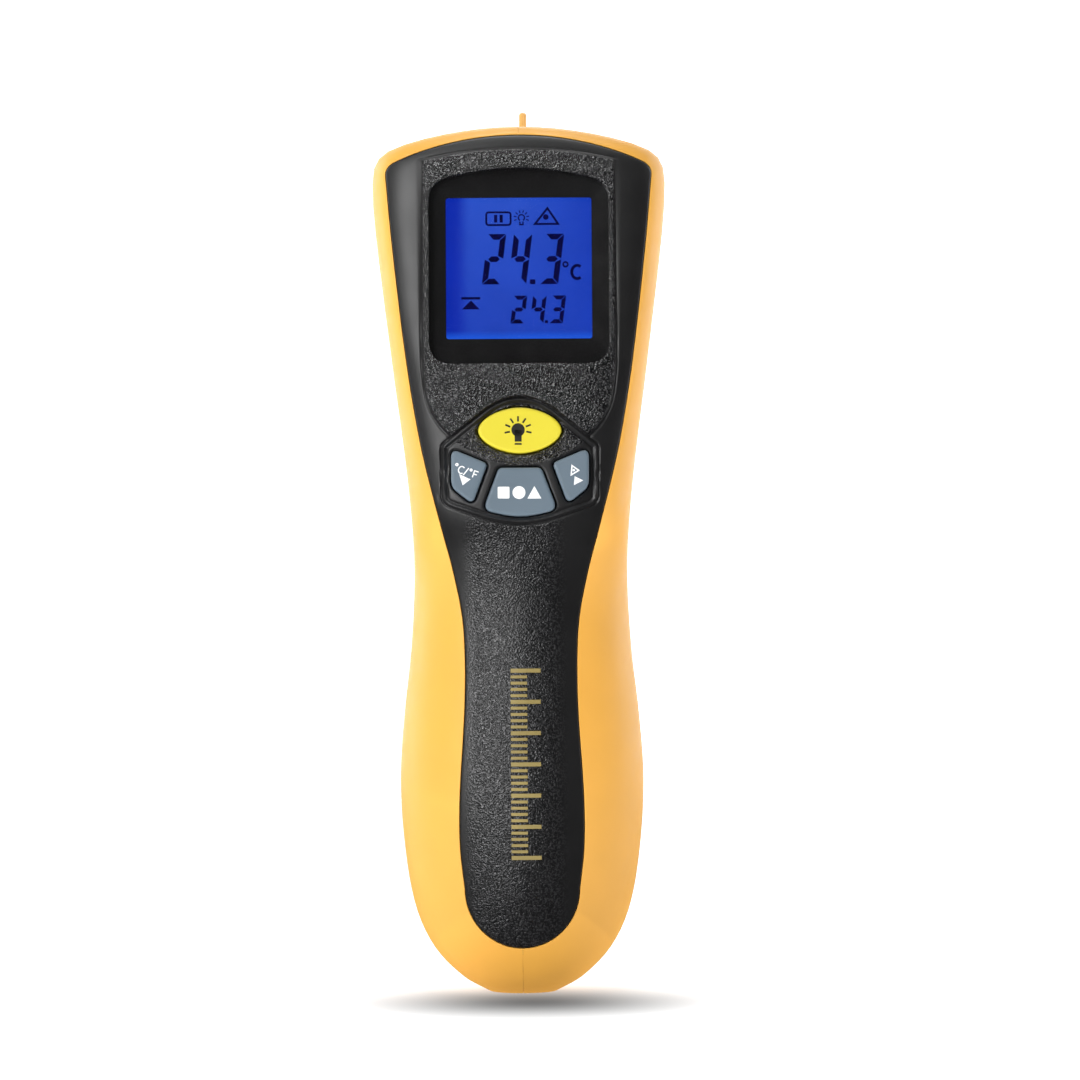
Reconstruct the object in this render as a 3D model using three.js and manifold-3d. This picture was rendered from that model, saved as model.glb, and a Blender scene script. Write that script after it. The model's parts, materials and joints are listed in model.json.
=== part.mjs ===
// Infrared thermometer with a pistol-shaped body.
// Millimetres, +Z up, +Y along the barrel towards the target, +X to the right of someone who reads the
// display. The origin is the middle of the flat base of the handle.
import * as THREE from "three";
import { mergeVertices } from "three/addons/utils/BufferGeometryUtils.js";
import Module from "manifold-3d";

const wasm = await Module();
wasm.setup();

// ---------------------------------------------------------------- driving dimensions

const GAP = 0.3; // between pieces that would touch
const SEAM = 0.1; // each shell half stops this far from the middle plane
const WALL = 2; // shell wall
const TONGUE = { reach: 2.4, halfLength: 5, height: 2.2 }; // of the right shell's base, across the seam
const NOSE_Y = 60; // front rim of the shells
const NOSE_SCALE = 0.88; // width of the body at the nose, as a share of its width at the display
const TAPER_FROM_Y = 5; // the body starts to narrow here

const FACE_TILT = THREE.MathUtils.degToRad(5.5); // the display face leans forward by this much
const FACE_Y0 = -27.86; // where the line of the display face meets z = 0
const FACE_Z = 120; // height of the face frame's origin

// The line of the display face, as y at height z.
function faceY(z) {
  return FACE_Y0 + z * Math.tan(FACE_TILT);
}

// Half width of the body at height z, seen from behind.
const BODY_HALF_WIDTHS = [
  [0, 6.2],
  [2.7, 10.9],
  [8.1, 16.1],
  [15.3, 19.4],
  [26, 21.3],
  [38.7, 22.05],
  [51.3, 21.2],
  [62, 20],
  [76.5, 19.35],
  [90.9, 20.25],
  [112.5, 22.95],
  [134, 25.65],
  [145, 26.6],
  [160, 26.6],
];

// Sections of the body, from the base up the handle, round the head and out along the barrel.
// Each has the rear or top point (y, z), the front or underside point (y, z), how square the rear and
// the front half are, and the crown of the top.
const STATIONS = [
  [-8, 0, 8, 0, 2.2, 2.2, 0],
  [-12.5, 1.6, 11.5, 1.4, 2.2, 2.2, 0],
  [-16, 4.8, 13.8, 4.2, 2.1, 2.2, 0],
  [-19.4, 11.5, 15.6, 10.5, 2, 2.3, 0],
  [-21.7, 21.5, 16, 20.5, 1.9, 2.3, 0],
  [-22.6, 34, 15, 33, 1.85, 2.3, 0],
  [-21.6, 47, 13.4, 46, 1.85, 2.3, 0],
  [-19.6, 60, 12.4, 60, 1.85, 2.3, 0],
  [-18.4, 71, 13, 69, 1.9, 2.4, 0],
  [-18.5, 80, 14.3, 76, 2.3, 2.5, 0],
  [faceY(88), 88, 15.9, 82.5, 3.2, 2.6, 0],
  [faceY(97), 97, 17.6, 88.5, 3.8, 2.8, 0],
  [faceY(110), 110, 19.4, 94, 4.6, 3, 0],
  [faceY(124), 124, 21.2, 98, 6, 3, 0],
  [faceY(138), 138, 23.2, 100.6, 6, 3.2, 0.4],
  [faceY(149), 149, 25.4, 102.2, 7, 3.5, 2.2],
  [-11.7, 155, 28.4, 103.2, 10, 4, 4.8],
  [-7, 156.7, 32, 104, 14, 4.5, 6],
  [6, 157.1, 37, 105, 14, 5, 6],
  [24, 156.8, 44, 106.4, 14, 5, 6],
  [42, 155, 52, 108.3, 14, 5, 5.6],
  [NOSE_Y, 151.8, NOSE_Y, 110.2, 12, 5, 5],
];
const RINGS_PER_STATION = 2;
const OUTER_QUARTER = 6; // points round each quarter of an outer section
const INNER_QUARTER = 5;

// Half width of the rear fascia at height z.
const FASCIA_HALF_WIDTHS = [
  [19.5, 10.2],
  [27, 11],
  [36, 11],
  [51, 10.1],
  [60, 9.95],
  [68, 10.4],
  [76.5, 12.06],
  [83.7, 13.95],
  [98, 17.5],
  [112.5, 20],
  [134, 22.6],
  [147.6, 23.9],
];
const FASCIA_FOOT_HEIGHT = 10.5; // of the half ellipse that ends the fascia below
const FASCIA_ARC = { radius: 55, centreZ: 99.8, halfAngle: THREE.MathUtils.degToRad(23.9) };
const FASCIA_CORNER = [24.05, 149.3]; // where its side and its top arc would meet without rounding
const FASCIA_BACK_Y = -7; // the fascia and its opening lie behind this plane
const FASCIA_LIP = { reach: 1.5, thick: 0.8 }; // its edge reaches behind the shells

// Display, from its middle. Depths are measured inwards from the face line.
const DISPLAY_Z = 131;
const BEZEL = {
  halfWidth: 16.2,
  peak: 19.3,
  shoulder: 15.4,
  bottom: -17.6,
  corner: 4.4,
  arch: 51,
  depth: 1.6,
};
const DISPLAY_OPENING = [13.1, 12.8]; // half width and half height
const WINDOW = { half: [14.2, 14], depth: 3.7, thick: 0.9 };
const LCD = { half: [16.5, 17], depth: 4.9, thick: 2 };
const BACKLIGHT = { half: [15.5, 14], depth: 7.2, thick: 1.6 };
const CONNECTOR = { half: [15, 1], below: 15.7, thick: 1.7 };
const BOARD = { depth: 9.1, thick: 1.6 };
const BOARD_OUTLINE = [
  [21.5, 29.5, 2],
  [21.5, 9, 4],
  [17.5, -8, 4],
  [13, -36, 2],
  [-13, -36, 2],
  [-17.5, -8, 4],
  [-21.5, 9, 4],
  [-21.5, 29.5, 2],
];
const BOARD_POSTS = [
  [19.2, 25.5],
  [-19.2, 25.5],
  [15.4, -11],
  [-15.4, -11],
];
const BEEPER = { radius: 6, thick: 3, z: 120 };

// Keys. Corners are x, height z and corner radius.
const KEY_PROUD = 0.9;
const KEY_TRAVEL = 0.8;
const KEY_FLANGE = { reach: 0.7, depth: 5.4, thick: 0.8 };
const KEY_OVAL = { halfWidth: 7.45, halfHeight: 4.1, z: 101.5, power: 1.8 };
const MODE_KEY_CORNERS = [
  [-3.8, 94.8, 1.1],
  [3.8, 94.8, 1.1],
  [6.6, 87.35, 1.4],
  [0, 85.8, 16],
  [-6.6, 87.35, 1.4],
];
const SIDE_KEY_CORNERS = [
  [12.3, 98.3, 1.1],
  [12.3, 91.5, 2.5],
  [8.5, 88.4, 1],
  [5.8, 95.6, 0.9],
];
const DOME_SHEET = { depth: 8.55, thick: 0.3, half: [13, 11.5], z: 96.5 };

// Trigger, in the plane of symmetry. Corners are y, z and corner radius.
const TRIGGER_PIVOT = [15, 105];
const TRIGGER_HALF_WIDTH = 5;
const TRIGGER_CORNERS = [
  [11.6, 107.6, 2],
  [18.4, 107.6, 2],
  [24.4, 100.6, 1.5],
  [21.2, 88, 8],
  [22.9, 79.4, 1.2],
  [20.6, 77.8, 1.2],
  [15.4, 78.8, 1.5],
  [14.2, 88, 6],
  [11, 104, 2],
];
const TRIGGER_SLOT = { halfWidth: 5.6, y: [8, 25.2], z: [76.8, 103.9] };
const TRIGGER_BOSS_X = 8.8; // the shells' bosses for the pin start here
const PIN_RADIUS = 0.9;
const SWITCH_Y = 4; // front of the small board behind the trigger

// Battery door on the front of the handle. Corners are x, z and corner radius.
const DOOR_CORNERS = [
  [14.5, 66, 3.5],
  [14.5, 24, 8],
  [6.8, 5.6, 2.5],
  [-6.8, 5.6, 2.5],
  [-14.5, 24, 8],
  [-14.5, 66, 3.5],
];
const DOOR_HINGE = [12.3, 8.2]; // y and z of the hinge line
const KNUCKLE = { radius: 1.9, halfWidth: 3.4 };
const LUG = { from: 3.8, to: 6.8 };
const BATTERY = { size: [26, 17, 46], y: -3.4, z: 12.8 };

// Optics in the barrel, round an axis along +Y at this height.
const OPTICS_Z = 133;
const LASER_Z = 115.8;
const NOZZLE_RADIUS = 13.2;
const NOZZLE_Y = 66;

// Screws that hold the shells together, along X: y, z and how far out the head's face is.
const HOUSING_SCREWS = [
  [3, 69, 18.2],
  [3, 6.5, 12.8],
  [22, 145.5, 24.4],
  [31, 111.5, 17.2],
];
const SCREW_TIP_X = 8.5;

// ---------------------------------------------------------------- solids and outlines

function solidFrom(geometry) {
  const bare = geometry.clone();
  bare.deleteAttribute("normal");
  bare.deleteAttribute("uv");
  const merged = mergeVertices(bare, 1e-4);
  const triVerts = new Uint32Array(merged.index.array);
  const vertProperties = merged.attributes.position.array;
  return new wasm.Manifold(new wasm.Mesh({ numProp: 3, vertProperties, triVerts }));
}

function geometryFrom(solid) {
  const mesh = solid.getMesh();
  const geometry = new THREE.BufferGeometry();
  geometry.setAttribute("position", new THREE.BufferAttribute(mesh.vertProperties, 3));
  geometry.setIndex(new THREE.BufferAttribute(mesh.triVerts, 1));
  const flat = geometry.toNonIndexed();
  flat.computeVertexNormals();
  return flat;
}

// Value at x of a smooth curve through [x, value] points, by cubic Hermite pieces.
function curveThrough(points, x) {
  const last = points.length - 1;
  const slopeAt = (i) => {
    const [x0, v0] = points[Math.max(i - 1, 0)];
    const [x1, v1] = points[Math.min(i + 1, last)];
    return (v1 - v0) / (x1 - x0);
  };
  const found = points.findIndex(([px]) => px > x);
  const i = Math.max(found < 0 ? last : found, 1);
  const [x0, v0] = points[i - 1];
  const [x1, v1] = points[i];
  const h = x1 - x0;
  const f = THREE.MathUtils.clamp((x - x0) / h, 0, 1);
  const rise = f * f * (3 - 2 * f);
  const leave = f * (1 - f) * (1 - f) * h * slopeAt(i - 1);
  const arrive = f * f * (f - 1) * h * slopeAt(i);
  return v0 + (v1 - v0) * rise + leave + arrive;
}

// One station of the body at position u along STATIONS, by a Catmull-Rom spline in each column.
function stationAt(u) {
  const last = STATIONS.length - 1;
  const i = Math.min(Math.floor(u), last - 1);
  const f = u - i;
  const row = (k) => STATIONS[THREE.MathUtils.clamp(k, 0, last)];
  return STATIONS[0].map((_, column) => {
    const [a, b, c, d] = [i - 1, i, i + 1, i + 2].map((k) => row(k)[column]);
    return b + 0.5 * f * (c - a + f * (2 * a - 5 * b + 4 * c - d + f * (3 * (b - c) + d - a)));
  });
}

function widthShareAt(y) {
  const f = THREE.MathUtils.clamp((y - TAPER_FROM_Y) / (NOSE_Y - TAPER_FROM_Y), 0, 1);
  return 1 - (1 - NOSE_SCALE) * f * f * (3 - 2 * f);
}

// Angles round a section, closer together at its four corners.
function sectionAngles(quarter) {
  const angles = [];
  for (let i = 0; i < 4 * quarter; i++) {
    const w = (2 * (i % quarter)) / quarter - 1;
    const turn = Math.floor(i / quarter) + 0.5 + 0.5 * Math.sign(w) * Math.abs(w) ** 1.3;
    angles.push((turn * Math.PI) / 2);
  }
  return angles;
}

// One ring of the body's surface, moved inwards by inset.
function sectionRing(u, inset, quarter) {
  const [rearY, rearZ, frontY, frontZ, rearPower, frontPower, crown] = stationAt(u);
  const rear = new THREE.Vector2(rearY, rearZ);
  const front = new THREE.Vector2(frontY, frontZ);
  const middle = rear.clone().add(front).multiplyScalar(0.5);
  const way = rear.clone().sub(front).normalize();
  const half = rear.distanceTo(front) / 2 - inset;
  return sectionAngles(quarter).map((angle) => {
    const c0 = Math.cos(angle);
    const s0 = Math.sin(angle);
    const power = c0 > 0 ? rearPower : frontPower;
    const reach = (Math.abs(c0) ** power + Math.abs(s0) ** power) ** (-1 / power);
    const c = reach * c0;
    const s = reach * s0;
    const drop = c > 0 ? crown * s * s : 0;
    const at = middle.clone().addScaledVector(way, (half - drop) * c);
    const width = curveThrough(BODY_HALF_WIDTHS, at.y) * widthShareAt(at.x) - inset;
    return new THREE.Vector3(s * width, at.x, at.y);
  });
}

// Closed skin over rings of points, with a flat fan at each end.
function loftSolid(rings) {
  const size = rings[0].length;
  const positions = rings.flat().flatMap((p) => [p.x, p.y, p.z]);
  const index = [];
  for (let r = 0; r < rings.length - 1; r++) {
    for (let i = 0; i < size; i++) {
      const a = r * size + i;
      const b = r * size + ((i + 1) % size);
      index.push(a, b, b + size, a, b + size, a + size);
    }
  }
  for (const end of [0, rings.length - 1]) {
    const middle = new THREE.Vector3();
    rings[end].forEach((p) => middle.addScaledVector(p, 1 / size));
    const hub = positions.length / 3;
    positions.push(middle.x, middle.y, middle.z);
    for (let i = 0; i < size; i++) {
      const a = end * size + i;
      const b = end * size + ((i + 1) % size);
      index.push(...(end === 0 ? [hub, b, a] : [hub, a, b]));
    }
  }
  const geometry = new THREE.BufferGeometry();
  geometry.setAttribute("position", new THREE.Float32BufferAttribute(positions, 3));
  geometry.setIndex(index);
  return solidFrom(geometry);
}

// The body's surface as a solid, from station u0 to station u1.
function bodySolid(inset, u0, u1, quarter, reachPastNose = 0) {
  const steps = Math.round((u1 - u0) * (inset ? 1 : RINGS_PER_STATION));
  const rings = [];
  for (let i = 0; i <= steps; i++) {
    rings.push(sectionRing(u0 + ((u1 - u0) * i) / steps, inset, quarter));
  }
  if (reachPastNose) {
    rings.push(rings.at(-1).map((p) => p.clone().setY(p.y + reachPastNose)));
  }
  return loftSolid(rings);
}

// Closed outline through corners [x, y, radius], each corner rounded off.
function roundedOutline(corners) {
  const shape = new THREE.Shape();
  corners.forEach(([x, y, radius], i) => {
    const corner = new THREE.Vector2(x, y);
    const before = new THREE.Vector2(...corners.at(i - 1));
    const after = new THREE.Vector2(...corners[(i + 1) % corners.length]);
    const back = before.sub(corner).normalize();
    const on = after.sub(corner).normalize();
    const reach = radius / Math.tan(back.angleTo(on) / 2);
    const start = corner.clone().addScaledVector(back, reach);
    const end = corner.clone().addScaledVector(on, reach);
    if (i === 0) shape.moveTo(start.x, start.y);
    else shape.lineTo(start.x, start.y);
    shape.quadraticCurveTo(x, y, end.x, end.y);
  });
  shape.closePath();
  return shape;
}

// Rectangle about (x, y) with rounded corners.
function panelOutline([halfX, halfY], radius = 0.8, y = 0) {
  return roundedOutline([
    [halfX, y + halfY, radius],
    [halfX, y - halfY, radius],
    [-halfX, y - halfY, radius],
    [-halfX, y + halfY, radius],
  ]);
}

// Outline moved outwards by a distance, as a new outline.
function grownOutline(shape, distance, divisions = 4) {
  const points = shape.extractPoints(divisions).shape;
  if (points.at(-1).distanceTo(points[0]) < 1e-6) points.pop();
  const side = THREE.ShapeUtils.isClockWise(points) ? -1 : 1;
  return new THREE.Shape(
    points.map((p, i) => {
      const before = points.at(i - 1);
      const after = points[(i + 1) % points.length];
      const edgeIn = p.clone().sub(before).normalize();
      const edgeOut = after.clone().sub(p).normalize();
      const along = edgeIn.add(edgeOut).normalize();
      const cosine = along.dot(edgeOut);
      return new THREE.Vector2(along.y, -along.x).multiplyScalar((side * distance) / cosine).add(p);
    }),
  );
}

// Prism of an outline in its own plane, from height low to height high.
function prism(shape, low, high, curveSegments = 4) {
  const options = { depth: high - low, bevelEnabled: false, curveSegments };
  return new THREE.ExtrudeGeometry(shape, options).translate(0, 0, low);
}

// Prism of an outline in x and z, between two planes across Y.
function prismAlongY(shape, y0, y1) {
  return solidFrom(prism(shape, -y1, -y0).rotateX(Math.PI / 2));
}

// Prism of an outline in y and z, between two planes across X.
function prismAlongX(shape, x0, x1) {
  const turn = new THREE.Matrix4().makeBasis(
    new THREE.Vector3(0, 1, 0),
    new THREE.Vector3(0, 0, 1),
    new THREE.Vector3(1, 0, 0),
  );
  return solidFrom(prism(shape, x0, x1).applyMatrix4(turn));
}

function boxSolid([x0, x1], [y0, y1], [z0, z1]) {
  const box = new THREE.BoxGeometry(x1 - x0, y1 - y0, z1 - z0);
  return solidFrom(box.translate((x0 + x1) / 2, (y0 + y1) / 2, (z0 + z1) / 2));
}

// Cylinder along X round (y, z).
function rodAlongX([y, z], radius, x0, x1, sides = 12) {
  const rod = new THREE.CylinderGeometry(radius, radius, x1 - x0, sides);
  return solidFrom(rod.rotateZ(Math.PI / 2).translate((x0 + x1) / 2, y, z));
}

// Body of revolution round the Y axis: profile points are [radius, y], anticlockwise.
function turned(profile, sides = 24) {
  return new THREE.LatheGeometry(
    profile.map(([radius, y]) => new THREE.Vector2(radius, y)),
    sides,
  );
}

// Round wire along a path of points.
function wire(points, radius, steps, sides = 6) {
  const section = new THREE.Shape();
  section.absarc(0, 0, radius, 0, 2 * Math.PI);
  const ring = new THREE.Shape(section.getSpacedPoints(sides).slice(0, sides));
  const extrudePath = new THREE.CatmullRomCurve3(points.map((p) => new THREE.Vector3(...p)));
  return new THREE.ExtrudeGeometry(ring, { steps, bevelEnabled: false, extrudePath });
}

// ---------------------------------------------------------------- frames of the assembly

// Face frame: x across, y up the display face from FACE_Z, z outwards to the user.
const face = new THREE.Group();
face.position.set(0, faceY(FACE_Z), FACE_Z);
face.rotation.x = Math.PI / 2 - FACE_TILT;
face.updateMatrixWorld();

function upFace(z) {
  return (z - FACE_Z) / Math.cos(FACE_TILT);
}

function onFace(geometry) {
  return solidFrom(geometry.applyMatrix4(face.matrixWorld));
}

const optics = new THREE.Group();
optics.position.set(0, 0, OPTICS_Z);

const laser = new THREE.Group();
laser.position.set(0, 0, LASER_Z);

const handle = new THREE.Group();
handle.position.set(0, BATTERY.y, BATTERY.z);

const thermometer = new THREE.Group();
thermometer.name = "infrared_thermometer";
thermometer.add(face, optics, laser, handle);

const PLASTICS = {
  yellow: { color: 0xf6b550, roughness: 0.5 },
  black: { color: 0x2b2b2d, roughness: 0.65 },
  grey: { color: 0x60707a, roughness: 0.55 },
  keyYellow: { color: 0xe6d843, roughness: 0.5 },
  white: { color: 0xe9e9e6, roughness: 0.5 },
  board: { color: 0x1f6b3a, roughness: 0.45 },
  blue: { color: 0x1c4fd8, roughness: 0.3, emissive: 0x1133aa },
  red: { color: 0xb3201c, roughness: 0.5 },
  rubber: { color: 0x1c1c1d, roughness: 0.85 },
};
const METALS = {
  steel: { color: 0xb9bcbf, roughness: 0.35, metalness: 1 },
  brass: { color: 0xc9a24a, roughness: 0.35, metalness: 1 },
  aluminium: { color: 0xc4c6c8, roughness: 0.45, metalness: 1 },
};
const CLEAR = {
  window: { color: 0xdfe8ee, roughness: 0.05, transparent: true, opacity: 0.3 },
  lens: { color: 0x30323a, roughness: 0.1, transparent: true, opacity: 0.8 },
};

function add(parent, name, geometry, look) {
  const mesh = new THREE.Mesh(geometry, new THREE.MeshStandardMaterial(look));
  mesh.name = name;
  parent.add(mesh);
  return mesh;
}

// ---------------------------------------------------------------- shells

// Right half of the fascia's edge, from the middle of its foot to the middle of its top.
function fasciaOutline() {
  const [lowZ, lowHalf] = FASCIA_HALF_WIDTHS[0];
  const [highZ] = FASCIA_HALF_WIDTHS.at(-1);
  const half = [];
  const footSteps = 6;
  for (let i = 0; i < footSteps; i++) {
    const a = (Math.PI / 2) * (i / footSteps - 1);
    half.push([lowHalf * Math.cos(a), lowZ + FASCIA_FOOT_HEIGHT * Math.sin(a)]);
  }
  const sideSteps = 20;
  for (let i = 0; i <= sideSteps; i++) {
    const z = lowZ + ((highZ - lowZ) * i) / sideSteps;
    half.push([curveThrough(FASCIA_HALF_WIDTHS, z), z]);
  }
  const { radius, centreZ, halfAngle } = FASCIA_ARC;
  const top = [];
  const topSteps = 5;
  for (let i = 0; i <= topSteps; i++) {
    const a = halfAngle * (1 - i / topSteps);
    top.push([radius * Math.sin(a), centreZ + radius * Math.cos(a)]);
  }
  const ends = [half.at(-1), FASCIA_CORNER, top[0]].map((point) => new THREE.Vector2(...point));
  const corner = new THREE.QuadraticBezierCurve(...ends).getPoints(4).slice(1, -1);
  half.push(...corner.map((point) => point.toArray()), ...top);
  const mirrored = half.slice(1, -1).reverse();
  const points = [...half, ...mirrored.map(([x, z]) => [-x, z])];
  return new THREE.Shape(points.map(([x, z]) => new THREE.Vector2(x, z)));
}

const lastStation = STATIONS.length - 1;
const outerBody = bodySolid(0, 0, lastStation, OUTER_QUARTER);
const cavity = bodySolid(WALL, 1.2, lastStation, INNER_QUARTER, 2);
const doorOutline = roundedOutline(DOOR_CORNERS);
const BEHIND = -40; // a plane behind the whole body
const AHEAD = 40; // a plane in front of the handle

// Bosses for the housing screws and for the trigger pin, across the inside of the body.
function shellBosses() {
  const screwBosses = HOUSING_SCREWS.map(([y, z]) => rodAlongX([y, z], 3.2, -30, 30));
  const pinBosses = [
    rodAlongX(TRIGGER_PIVOT, 2.6, TRIGGER_BOSS_X, 30),
    rodAlongX(TRIGGER_PIVOT, 2.6, -30, -TRIGGER_BOSS_X),
  ];
  const all = [...screwBosses, ...pinBosses].reduce((sum, boss) => sum.add(boss));
  return all.intersect(outerBody);
}

// Two ears that hold the ends of the door's hinge pin.
function hingeLugs() {
  const [y, z] = DOOR_HINGE;
  const ear = roundedOutline([
    [y - KNUCKLE.radius, z + KNUCKLE.radius, 1.2],
    [y + KNUCKLE.radius, z + KNUCKLE.radius, 1.2],
    [y + KNUCKLE.radius, 3.4, 0.2],
    [y - KNUCKLE.radius - 0.8, 2.2, 0.2],
  ]);
  return prismAlongX(ear, LUG.from, LUG.to)
    .add(prismAlongX(ear, -LUG.to, -LUG.from))
    .intersect(outerBody);
}

// Thin fin on top of the barrel, along the right side of the seam.
function sightFin() {
  const fin = roundedOutline([
    [22, 153, 0.1],
    [35, 162.8, 3],
    [40.5, 162.1, 1.2],
    [44, 150, 0.1],
  ]);
  return prismAlongX(fin, SEAM, 1.4);
}

// The tongue's room in the middle of the base, grown by a clearance.
function tongueRoom(clearance, toX) {
  const { reach, halfLength, height } = TONGUE;
  const halfY = halfLength + clearance;
  return boxSolid([-reach - clearance, toX], [-halfY, halfY], [-1, height + clearance]);
}

function shellWalls() {
  const { halfWidth, y, z } = TRIGGER_SLOT;
  const fasciaHole = prismAlongY(grownOutline(fasciaOutline(), GAP), BEHIND, FASCIA_BACK_Y);
  const doorHole = prismAlongY(grownOutline(doorOutline, GAP), 0, AHEAD);
  const slot = boxSolid([-halfWidth, halfWidth], y, z);
  const walls = outerBody.subtract(cavity).subtract(fasciaHole).subtract(doorHole).subtract(slot);
  return walls.add(shellBosses()).add(hingeLugs());
}

function shellHalf(walls, side) {
  const span = side < 0 ? [-30, -SEAM] : [SEAM, 30];
  let half = walls.intersect(boxSolid(span, [BEHIND, 80], [-5, 165]));
  if (side > 0) half = half.add(sightFin()).add(walls.intersect(tongueRoom(0, 1)));
  else half = half.subtract(tongueRoom(GAP, 0));
  for (const [y, z, headX] of HOUSING_SCREWS) {
    const hole = side < 0 ? rodAlongX([y, z], 1.4, -30, 0) : rodAlongX([y, z], 1.4, 0, SCREW_TIP_X + 1);
    half = half.subtract(hole);
    if (side < 0) half = half.subtract(rodAlongX([y, z], 2.7, -30, 2.2 - headX));
  }
  const pinHole = rodAlongX(TRIGGER_PIVOT, PIN_RADIUS + 0.2, -10.6, 10.6);
  const hingeHole = rodAlongX(DOOR_HINGE, PIN_RADIUS + 0.1, -6.5, 6.5);
  return half.subtract(pinHole).subtract(hingeHole);
}

const walls = shellWalls();
add(thermometer, "left_shell", geometryFrom(shellHalf(walls, -1)), PLASTICS.yellow);
add(thermometer, "right_shell", geometryFrom(shellHalf(walls, 1)), PLASTICS.yellow);

HOUSING_SCREWS.forEach(([y, z, headX], i) => {
  const length = headX + SCREW_TIP_X;
  const profile = [
    [0, 0],
    [2.3, 0],
    [2.3, 2],
    [1.1, 2],
    [1.1, length - 1],
    [0, length],
  ];
  const screw = add(thermometer, `housing_screw_${i + 1}`, turned(profile, 10), METALS.steel);
  screw.position.set(-headX, y, z);
  screw.rotation.z = -Math.PI / 2;
});

// ---------------------------------------------------------------- fascia and display

// Bezel recess: square below, with an arched top.
function bezelOutline() {
  const { halfWidth, peak, shoulder, bottom, corner, arch } = BEZEL;
  return roundedOutline([
    [halfWidth, shoulder, corner],
    [halfWidth, bottom, corner],
    [-halfWidth, bottom, corner],
    [-halfWidth, shoulder, corner],
    [0, peak, arch],
  ]);
}

// A key's outline, in the face frame.
function keyOutline(corners, side = 1) {
  return roundedOutline(corners.map(([x, z, radius]) => [side * x, upFace(z), radius]));
}

function ovalKeyOutline() {
  const { halfWidth, halfHeight, z, power } = KEY_OVAL;
  const steps = 24;
  const points = [];
  for (let i = 0; i < steps; i++) {
    const a = (2 * Math.PI * i) / steps;
    const [c, s] = [Math.cos(a), Math.sin(a)];
    const x = halfWidth * Math.sign(c) * Math.abs(c) ** (2 / power);
    const y = halfHeight * Math.sign(s) * Math.abs(s) ** (2 / power);
    points.push(new THREE.Vector2(x, upFace(z) + y));
  }
  return new THREE.Shape(points);
}

const KEYS = [
  { name: "backlight_key", outline: ovalKeyOutline(), stem: [0, 101.6], look: PLASTICS.keyYellow },
  { name: "unit_key", outline: keyOutline(SIDE_KEY_CORNERS, -1), stem: [-9.6, 93.6], look: PLASTICS.grey },
  { name: "mode_key", outline: keyOutline(MODE_KEY_CORNERS), stem: [0, 90.6], look: PLASTICS.grey },
  { name: "laser_key", outline: keyOutline(SIDE_KEY_CORNERS), stem: [9.6, 93.6], look: PLASTICS.grey },
];

function rearFascia() {
  const outline = fasciaOutline();
  const lipStart = WALL + GAP;
  const lipEnd = lipStart + FASCIA_LIP.thick;
  const plug = outerBody.intersect(prismAlongY(outline, BEHIND, FASCIA_BACK_Y));
  const lipBody = bodySolid(lipStart, 0.5, lastStation - 2, INNER_QUARTER);
  const lipOutline = grownOutline(outline, FASCIA_LIP.reach);
  const lip = lipBody.intersect(prismAlongY(lipOutline, BEHIND, FASCIA_BACK_Y - 1));
  const hollow = bodySolid(lipEnd, 0.6, lastStation - 1, INNER_QUARTER);
  let fascia = plug.add(lip).subtract(hollow);
  for (const [x, y] of BOARD_POSTS) {
    const post = new THREE.CylinderGeometry(2, 2, BOARD.depth - GAP - 2.6, 10).rotateX(Math.PI / 2);
    fascia = fascia.add(onFace(post.translate(x, y, -(BOARD.depth - GAP + 2.6) / 2)));
  }
  const shiftUp = upFace(DISPLAY_Z);
  const cut = (geometry) => {
    fascia = fascia.subtract(onFace(geometry));
  };
  cut(prism(bezelOutline(), -BEZEL.depth, 5).translate(0, shiftUp, 0));
  cut(prism(panelOutline(DISPLAY_OPENING), -8, 5).translate(0, shiftUp, 0));
  KEYS.forEach((key) => cut(prism(grownOutline(key.outline, GAP), -8, 5)));
  for (const [x, y] of BOARD_POSTS) {
    cut(new THREE.CylinderGeometry(0.95, 0.95, 5, 8).rotateX(Math.PI / 2).translate(x, y, -7.5));
  }
  return fascia;
}

add(thermometer, "rear_fascia", geometryFrom(rearFascia()), PLASTICS.black);

// A flat plate in the face frame, centred on the display.
function displayPlate(name, { half, depth, thick, y = 0 }, look) {
  const plate = add(face, name, prism(panelOutline(half), -depth - thick, -depth), look);
  plate.position.y = upFace(DISPLAY_Z) + y;
}

displayPlate("display_window", WINDOW, CLEAR.window);
displayPlate("lcd_panel", LCD, PLASTICS.blue);
displayPlate("lcd_backlight", BACKLIGHT, PLASTICS.white);
const connectorDepth = LCD.depth + LCD.thick + GAP;
const connectorPlace = { ...CONNECTOR, depth: connectorDepth, y: -CONNECTOR.below };
displayPlate("lcd_connector_strip", connectorPlace, PLASTICS.rubber);

function mainBoard() {
  const { depth, thick } = BOARD;
  let board = solidFrom(prism(roundedOutline(BOARD_OUTLINE), -depth - thick, -depth));
  const chip = new THREE.BoxGeometry(11, 11, 2.4).translate(0, -12, -depth - thick - 0.8);
  board = board.add(solidFrom(chip));
  for (const [x, y] of BOARD_POSTS) {
    const hole = new THREE.CylinderGeometry(1.2, 1.2, 6, 8).rotateX(Math.PI / 2);
    board = board.subtract(solidFrom(hole.translate(x, y, -depth)));
  }
  return geometryFrom(board);
}

add(face, "main_board", mainBoard(), PLASTICS.board);

BOARD_POSTS.forEach(([x, y], i) => {
  const profile = [
    [0, 0],
    [1.9, 0],
    [1.9, 1.2],
    [0.8, 1.2],
    [0.8, 5],
    [0, 5.6],
  ];
  const screw = add(face, `board_screw_${i + 1}`, turned(profile, 10), METALS.steel);
  screw.position.set(x, y, -BOARD.depth - BOARD.thick - 1.4);
  screw.rotation.x = Math.PI / 2;
});

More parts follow.
